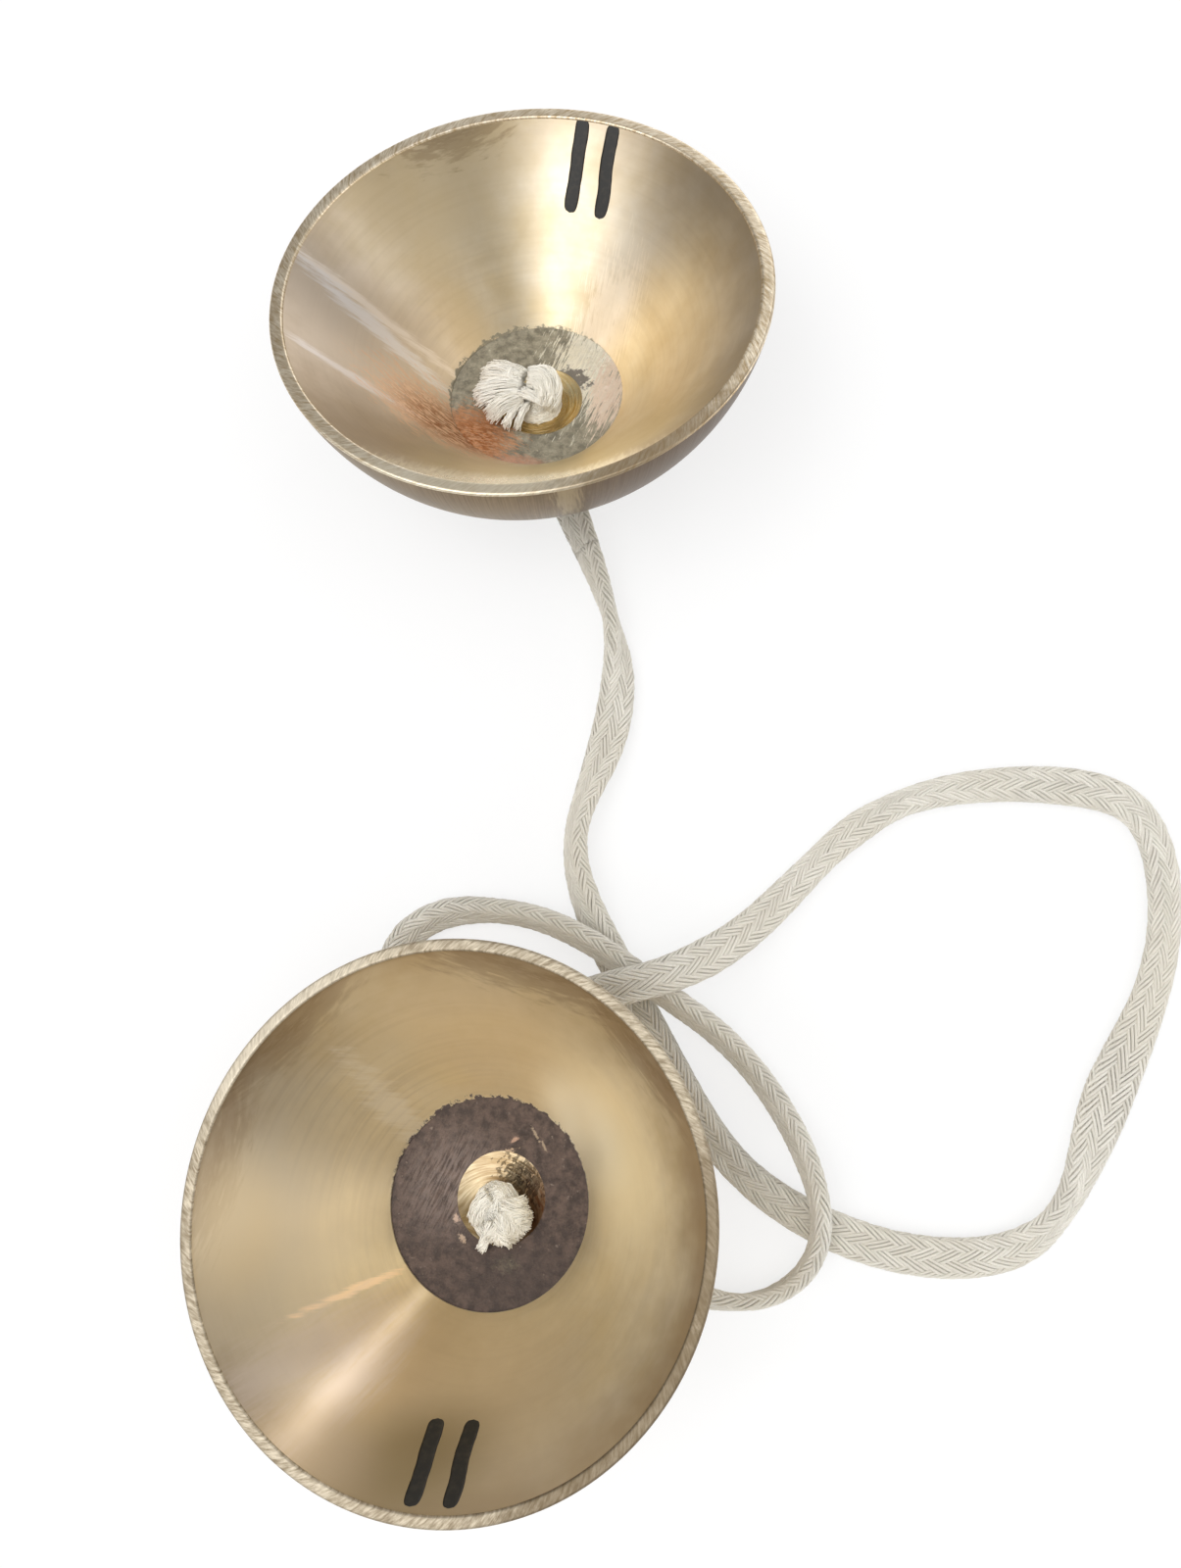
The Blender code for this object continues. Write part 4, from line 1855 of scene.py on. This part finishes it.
# Stains of one kind: sanded strokes, rubbed-on copper and its pits, painted highlight streaks, and
# chipped skin
sanded = partial(Stain, ragged=2.2, grain=(3.2, 0.32), grain_turn=68.0, roughness=0.34)
copper = partial(Stain, ragged=1.8, grain=(1.5, 0.30), grain_turn=150.0, roughness=0.45)
copper_pits = partial(Stain, ragged=1.4, grain=(1.1, 0.34), grain_turn=158.0, roughness=0.5)
# Painted highlights: thin bright reflections of a lamp, laid as streaks on the turned wall
painted_highlight_streak = partial(Stain, softness=0.6, ragged=1.5, grain=(9.0, 0.5))
chip = partial(Stain, softness=0.3, grain=(0.3, 0.3), roughness=0.4)
tarnish = partial(Stain, softness=0.6, ragged=1.8, grain=(4.0, 0.6), roughness=0.5)


def upper_cup() -> Cup:
    """The upper cup with its finishes.

    Returns:
        The cup, not yet built.
    """
    turned = TurnedBellMetal(
        "turned_bell_metal_upper",
        bright=0xEEE3CE,
        dull=0xDFCDAA,
        brown=0x7E6444,
        rim_brown=0.50,
        patch=UPPER_PATCH,
        skin=0xA09884,
        ragged_towards=125.0,
        lines_towards=175.0,
        stains=(
            # Painted dark reflection of the room, brownish in the lower left of the cone
            Stain(-20.0, -14.0, 15.0, 11.0, 140.0, 0xB09A80, 0.75, 0.7, 0.5, (9.0, 3.0), 40.0),
            # Painted reflection: a pale lilac sheen on the left wall, under the lamp's streaks
            Stain(-22.0, 2.0, 14.0, 12.0, 0.0, 0xE6D6C4, 0.80, 0.7, 0.5, (9.0, 3.0), 170.0),
            # Painted dark reflection of the room, in a wedge up the upper left wall
            Stain(-13.0, 22.0, 14.0, 8.0, 30.0, 0xC9B794, 0.7, 0.7, 0.6, (5.0, 3.0), 30.0),
            Stain(-10.0, 28.5, 9.0, 2.2, 20.0, 0x7A6040, 0.6, 0.5, 2.2, (3.0, 0.5), 20.0, 0.5, 0.4),
            # Painted shade: a duller reflection on the lower side of the cone
            Stain(4.0, -18.0, 16.0, 8.0, 8.0, 0xCBB88E, 0.85, 0.6, 0.4),
            # Painted dark reflection, where that wedge comes down to the floor
            Stain(-9.5, 12.0, 5.0, 3.0, 130.0, 0xC9B48C, 0.6, 0.7, 0.5),
            # Painted highlight: a whitish bright band along the front, just inside the rim
            Stain(-5.0, -31.0, 22.0, 7.4, 4.0, 0xFFF6E0, 0.9, 0.45, 0.6, (7.0, 0.5), 90.0, 0.26),
            # Painted highlights: three thin reflections of a lamp on the left wall
            painted_highlight_streak(-21.0, 6.8, 9.5, 0.7, 168.0, 0xFFF3E6, 0.95),
            painted_highlight_streak(-20.0, 4.4, 8.0, 1.1, 160.0, 0xFBF5F2, 0.95),
            painted_highlight_streak(-21.5, -5.8, 6.5, 0.7, 174.0, 0xF8EFEA, 0.75),
            copper(-12.8, -5.0, 7.4, 5.2, 155.0, 0xF4CBA4, 1.0, 0.3, speckle=0.4),
            copper_pits(-11.6, -5.6, 7.0, 4.6, 155.0, 0xA4653A, 0.95, 0.4, speckle=1.0),
            sanded(9.6, 10.4, 5.6, 3.6, 60.0, 0xFFF3DE, 0.7, 0.3, speckle=0.3),
        ),
    )
    cast = CastSkin(
        "cast_skin_upper",
        main=0xAAA38F,
        dark=0x7A7464,
        specks=0xC9C2AC,
        stains=(
            sanded(7.4, 5.4, 8.0, 5.0, 80.0, 0xFFFAEA, 1.0, 0.2, speckle=0.30, bare=True),
            sanded(9.6, 1.0, 6.0, 2.2, 78.0, 0xFBE2CE, 0.9, 0.3, speckle=0.35, bare=True),
            Stain(4.6, 3.4, 2.6, 1.8, 160.0, 0x8C867E, 1.0, 0.15, 1.4, (0.9, 0.9), 0.0, 0.6),
            copper(-9.0, -5.6, 5.6, 4.6, 155.0, 0xDFA070, 1.0, speckle=0.4, bare=True),
            copper_pits(-8.8, -6.0, 5.2, 4.2, 155.0, 0x9A5A30, 0.95, 0.4, speckle=1.0),
            copper(-2.5, -10.0, 3.4, 0.9, 170.0, 0xC98E70, 0.8, 0.3, speckle=0.6),
        ),
    )
    return Cup(
        Side.UPPER,
        turned,
        cast,
        UPPER_SINK_CUT,
        UPPER_RIM_FILED,
        UPPER_OUTSIDE_RUBBED_PAINTED_SHADE,
        ring_shift=(0.4, 0.0),
        bright_edge_towards=250.0,
        shape=UPPER_SHAPE,
    )


def lower_cup() -> Cup:
    """The lower cup with its finishes.

    Returns:
        The cup, not yet built.
    """
    turned = TurnedBellMetal(
        "turned_bell_metal_lower",
        bright=0xEFE0BF,
        dull=0xDCC79B,
        brown=0x7A5E3C,
        rim_brown=0.80,
        patch=LOWER_PATCH,
        skin=0x51433F,
        ragged_towards=90.0,
        lines_towards=155.0,
        stains=(
            # Painted shade: a greyer, dimmer reflection over the left wall
            Stain(-23.0, -3.0, 11.0, 15.0, 0.0, 0xC9BCA6, 0.95, 0.8, 0.4, (9.0, 3.0), 90.0),
            Stain(0.0, -22.0, 17.0, 10.0, 0.0, 0xDCC6A4, 0.6, 0.7, 0.0),
            # Painted highlight: a pale bright patch on the right wall
            Stain(15.5, 8.0, 5.5, 10.0, 25.0, 0xFFF0CC, 0.9, 0.7, 0.0),
            Stain(0.0, 22.5, 17.0, 7.0, 0.0, 0xCCB48A, 0.6, 0.7, 0.0),
            # Painted highlight: a near-white patch, lower on the right wall
            Stain(12.5, 10.0, 6.0, 4.0, 130.0, 0xFFF6DE, 0.95, 0.7, 0.0),
            # Painted shade: a dimmer reflection on the lower left wall
            Stain(-11.5, -19.5, 7.0, 5.5, 60.0, 0xCDB288, 0.7, 0.7, 0.0),
            tarnish(10.0, 27.5, 17.0, 2.2, -18.0, 0x6A5032, 0.65, grain_turn=-18.0, speckle=0.3),
            tarnish(24.0, 17.0, 9.0, 2.0, -52.0, 0x6A5032, 0.60, grain_turn=-52.0, speckle=0.4),
            tarnish(-21.0, 20.5, 13.0, 1.8, 42.0, 0x6E5436, 0.60, grain_turn=42.0, speckle=0.4),
            tarnish(-28.0, 6.0, 9.0, 1.6, 78.0, 0x74583A, 0.55, grain_turn=78.0, speckle=0.4),
            # Painted highlight: a thin orange-white reflection of a lamp, low on the left
            painted_highlight_streak(-15.6, -8.6, 4.6, 0.45, 28.0, 0xFFE2C0, 0.8),
            # Painted highlights: lilac-white reflections of a lamp, low on the left
            Stain(-19.0, -15.5, 7.5, 3.2, 38.0, 0xDACCC2, 0.5, 0.8, 1.2, (6.0, 0.6), 38.0),
            Stain(-13.5, -18.5, 7.0, 2.6, 56.0, 0xE0D2C8, 0.5, 0.8, 1.2, (6.0, 0.6), 56.0),
            # Painted highlight: a faint pale reflection on the upper left wall
            painted_highlight_streak(-12.0, 13.0, 5.0, 1.6, 120.0, 0xF6ECD8, 0.45),
            # Painted dark reflections along the front, just inside the rim
            Stain(-4.5, -25.5, 8.0, 4.2, 8.0, 0xA8946F, 0.9, 0.7, 0.0),
            Stain(-14.0, -24.0, 6.5, 3.2, -32.0, 0xBCA78A, 0.8, 0.7, 0.0),
            Stain(-26.5, -1.0, 3.2, 8.0, 0.0, 0xD0BC98, 0.6, 0.6, 0.0),
        ),
    )
    cast = CastSkin(
        "cast_skin_lower",
        main=0x68574E,
        dark=0x3E322C,
        specks=0x8C7C70,
        stains=(
            # Painted shadow from the hole's far wall, running onto the floor beside the tuft
            Stain(2.4, 5.2, 3.4, 2.0, -35.0, 0x241E1C, 0.8, 0.3, 2.4, (0.5, 0.7), -35.0, 0.7, 0.6),
            chip(2.6, 9.2, 0.5, 0.3, 40.0, 0xB8947C, 0.8, ragged=1.6),
            chip(1.2, 7.6, 1.4, 0.3, 15.0, 0xC4A888, 0.8, ragged=2.0),
            chip(5.3, 9.8, 0.9, 0.16, 120.0, 0xA8947A, 0.7, ragged=2.2),
            chip(6.4, 8.4, 0.7, 0.14, 115.0, 0xA8947A, 0.7, ragged=2.2),
            chip(-4.9, -0.4, 0.5, 0.35, 110.0, 0xCDB09A, 0.85, ragged=2.0),
            chip(-4.1, -2.7, 0.6, 0.3, 125.0, 0xC0A68C, 0.85, ragged=2.0),
            Stain(1.8, -5.9, 1.5, 0.9, 0.0, 0x8A8068, 0.7, 0.1, 3.2, (0.35, 0.7), 80.0, 0.5, 0.8),
            Stain(-6.0, 4.0, 7.0, 6.0, 40.0, 0x9A8A82, 0.55, 0.6, 1.2, (2.4, 0.3), 62.0, 0.5, 0.9),
            Stain(
                5.0, -8.6, 10.0, 5.0, -12.0, 0x3E322C, 0.75, 0.7, 0.9, (2.0, 0.8), 118.0, 0.5, 0.5
            ),
        ),
    )
    return Cup(
        Side.LOWER,
        turned,
        cast,
        LOWER_SINK_CUT,
        LOWER_RIM_FILED,
        LOWER_OUTSIDE_RUBBED,
        ring_shift=(0.9, 2.1),
        bright_edge_towards=215.0,
        shape=LOWER_SHAPE,
    )


def tufts(cotton: bpy.types.Material) -> tuple[Tuft, Tuft]:
    """Both tufts.

    Args:
        cotton: Their finish.

    Returns:
        The upper and the lower tuft, not yet built.
    """
    upper = Tuft(
        Side.UPPER,
        (
            Lock((-1.4, 1.6), 150.0, 6.6, 3.0, 2.0, 225, 14.0, 2.4, 1.0, 0.8, 1.5),
            Lock((-1.4, 0.6), 178.0, 6.9, 3.0, 2.0, 225, 8.0, 2.2, 0.9, 0.7, 1.4),
            Lock((-1.8, -0.4), 205.0, 5.4, 2.6, 1.8, 165, 6.0, 2.0, 0.8, 0.6, 1.2),
            Lock((-1.8, -1.2), 232.0, 4.3, 1.0, 0.9, 60, 8.0, 1.6, 0.6, 0.5, 1.2),
            Lock((-1.2, -1.4), 252.0, 3.9, 0.8, 0.8, 48, -10.0, 1.5, 0.5, 0.4, 1.1),
            Lock((-1.4, 2.5), 22.0, 8.2, 1.5, 1.4, 165, -165.0, 2.6, 1.0, 1.0, 1.0, 150.0),
            Lock((-1.4, 1.5), 14.0, 6.4, 1.4, 1.4, 150, -150.0, 2.9, 1.5, 1.0, 1.0, 150.0),
            Lock((-1.5, 0.5), 4.0, 4.8, 1.4, 1.3, 120, -120.0, 2.9, 1.8, 0.9, 1.0, 150.0),
            Lock((-2.2, -0.4), 320.0, 3.9, 1.5, 1.3, 90, 40.0, 2.6, 1.4, 0.8, 1.0),
            Lock((0.6, 2.0), 78.0, 2.5, 1.0, 0.9, 51, 25.0, 2.4, 1.6, 0.5, 1.1),
            Lock((-2.4, 3.6), 215.0, 3.2, 1.4, 1.2, 75, 70.0, 2.6, 1.9, 0.7, 1.0),
        ),
        cotton,
        (2.7, 2.4, 1.5),
        (-0.8, 0.5),
        1300,
    )
    lower = Tuft(
        Side.LOWER,
        (
            Lock((0.5, 2.6), 215.0, 4.4, 2.2, 1.4, 150, 48.0, 2.9, 1.3, 0.5, 1.0),
            Lock((0.4, -1.0), 242.0, 3.7, 1.1, 1.0, 90, -8.0, 1.5, 0.5, 0.4, 1.0, 120.0),
            Lock((0.9, -0.4), 268.0, 2.9, 2.0, 2.0, 150, -16.0, 2.4, 1.0, 1.0, 1.1, 120.0),
            Lock((1.4, -0.2), 288.0, 3.4, 2.1, 2.0, 165, 24.0, 2.3, 0.8, 1.0, 1.1, -110.0),
            Lock((1.5, 0.3), 316.0, 3.4, 2.2, 2.2, 165, -20.0, 2.8, 1.1, 0.9, 1.1, 120.0),
            Lock((1.8, 0.6), 330.0, 3.5, 2.2, 2.0, 165, 26.0, 2.6, 1.0, 0.8, 1.0, -120.0),
            Lock((1.8, 1.3), 354.0, 3.0, 2.0, 1.8, 120, 24.0, 2.9, 1.5, 0.7, 1.0, 100.0),
        ),
        cotton,
        (2.6, 3.0, 2.5),
        (1.6, 2.0),
        1500,
    )
    return upper, lower


def lay_cord(tuft_pieces: list[bpy.types.Object]) -> None:
    """Args:
        tuft_pieces: The tufts at its two ends. It is not used.
    """
    cord = Braid(BRAID_LAYS, BRAID_COTTON, LINING_COTTON_PAINTED_SHADE).build()
    pieces = cord.pieces
    for name in ("cord_braid", "cord_braid_lining"):
        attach(pieces[name], "cord")
    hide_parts("cord")
    for side in Side:
        seat = Seat(side)
        near = np.array(seat.crown)
        for name in (f"{side.value}_braid_end", f"{side.value}_braid_end_lining"):
            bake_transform(pieces[name])
        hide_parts(f"{side.value}_cord_end")
    LOG.info("cord: %.0f mm from knot to knot", cord.length / MM)


def main() -> None:
    """Builds the whole scene."""
    logging.basicConfig(level=logging.INFO, format="%(message)s")
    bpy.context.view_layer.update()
    Studio(ROOM_PANELS, ROOM_LAMPS).build()
    for cup in (upper_cup(), lower_cup()):
        cup.build()
    ink = FeltPen().build()
    PairMark(Side.UPPER, ink, (8.6, 24.6), -20.0, UPPER_PATCH, shape=UPPER_SHAPE).build()
    PairMark(Side.LOWER, ink, (-0.4, -25.6), 0.0, LOWER_PATCH, shape=LOWER_SHAPE).build()
    lay_cord([tuft.build() for tuft in tufts(TUFT_COTTON.build())])
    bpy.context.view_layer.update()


if __name__ == "__main__":
    main()
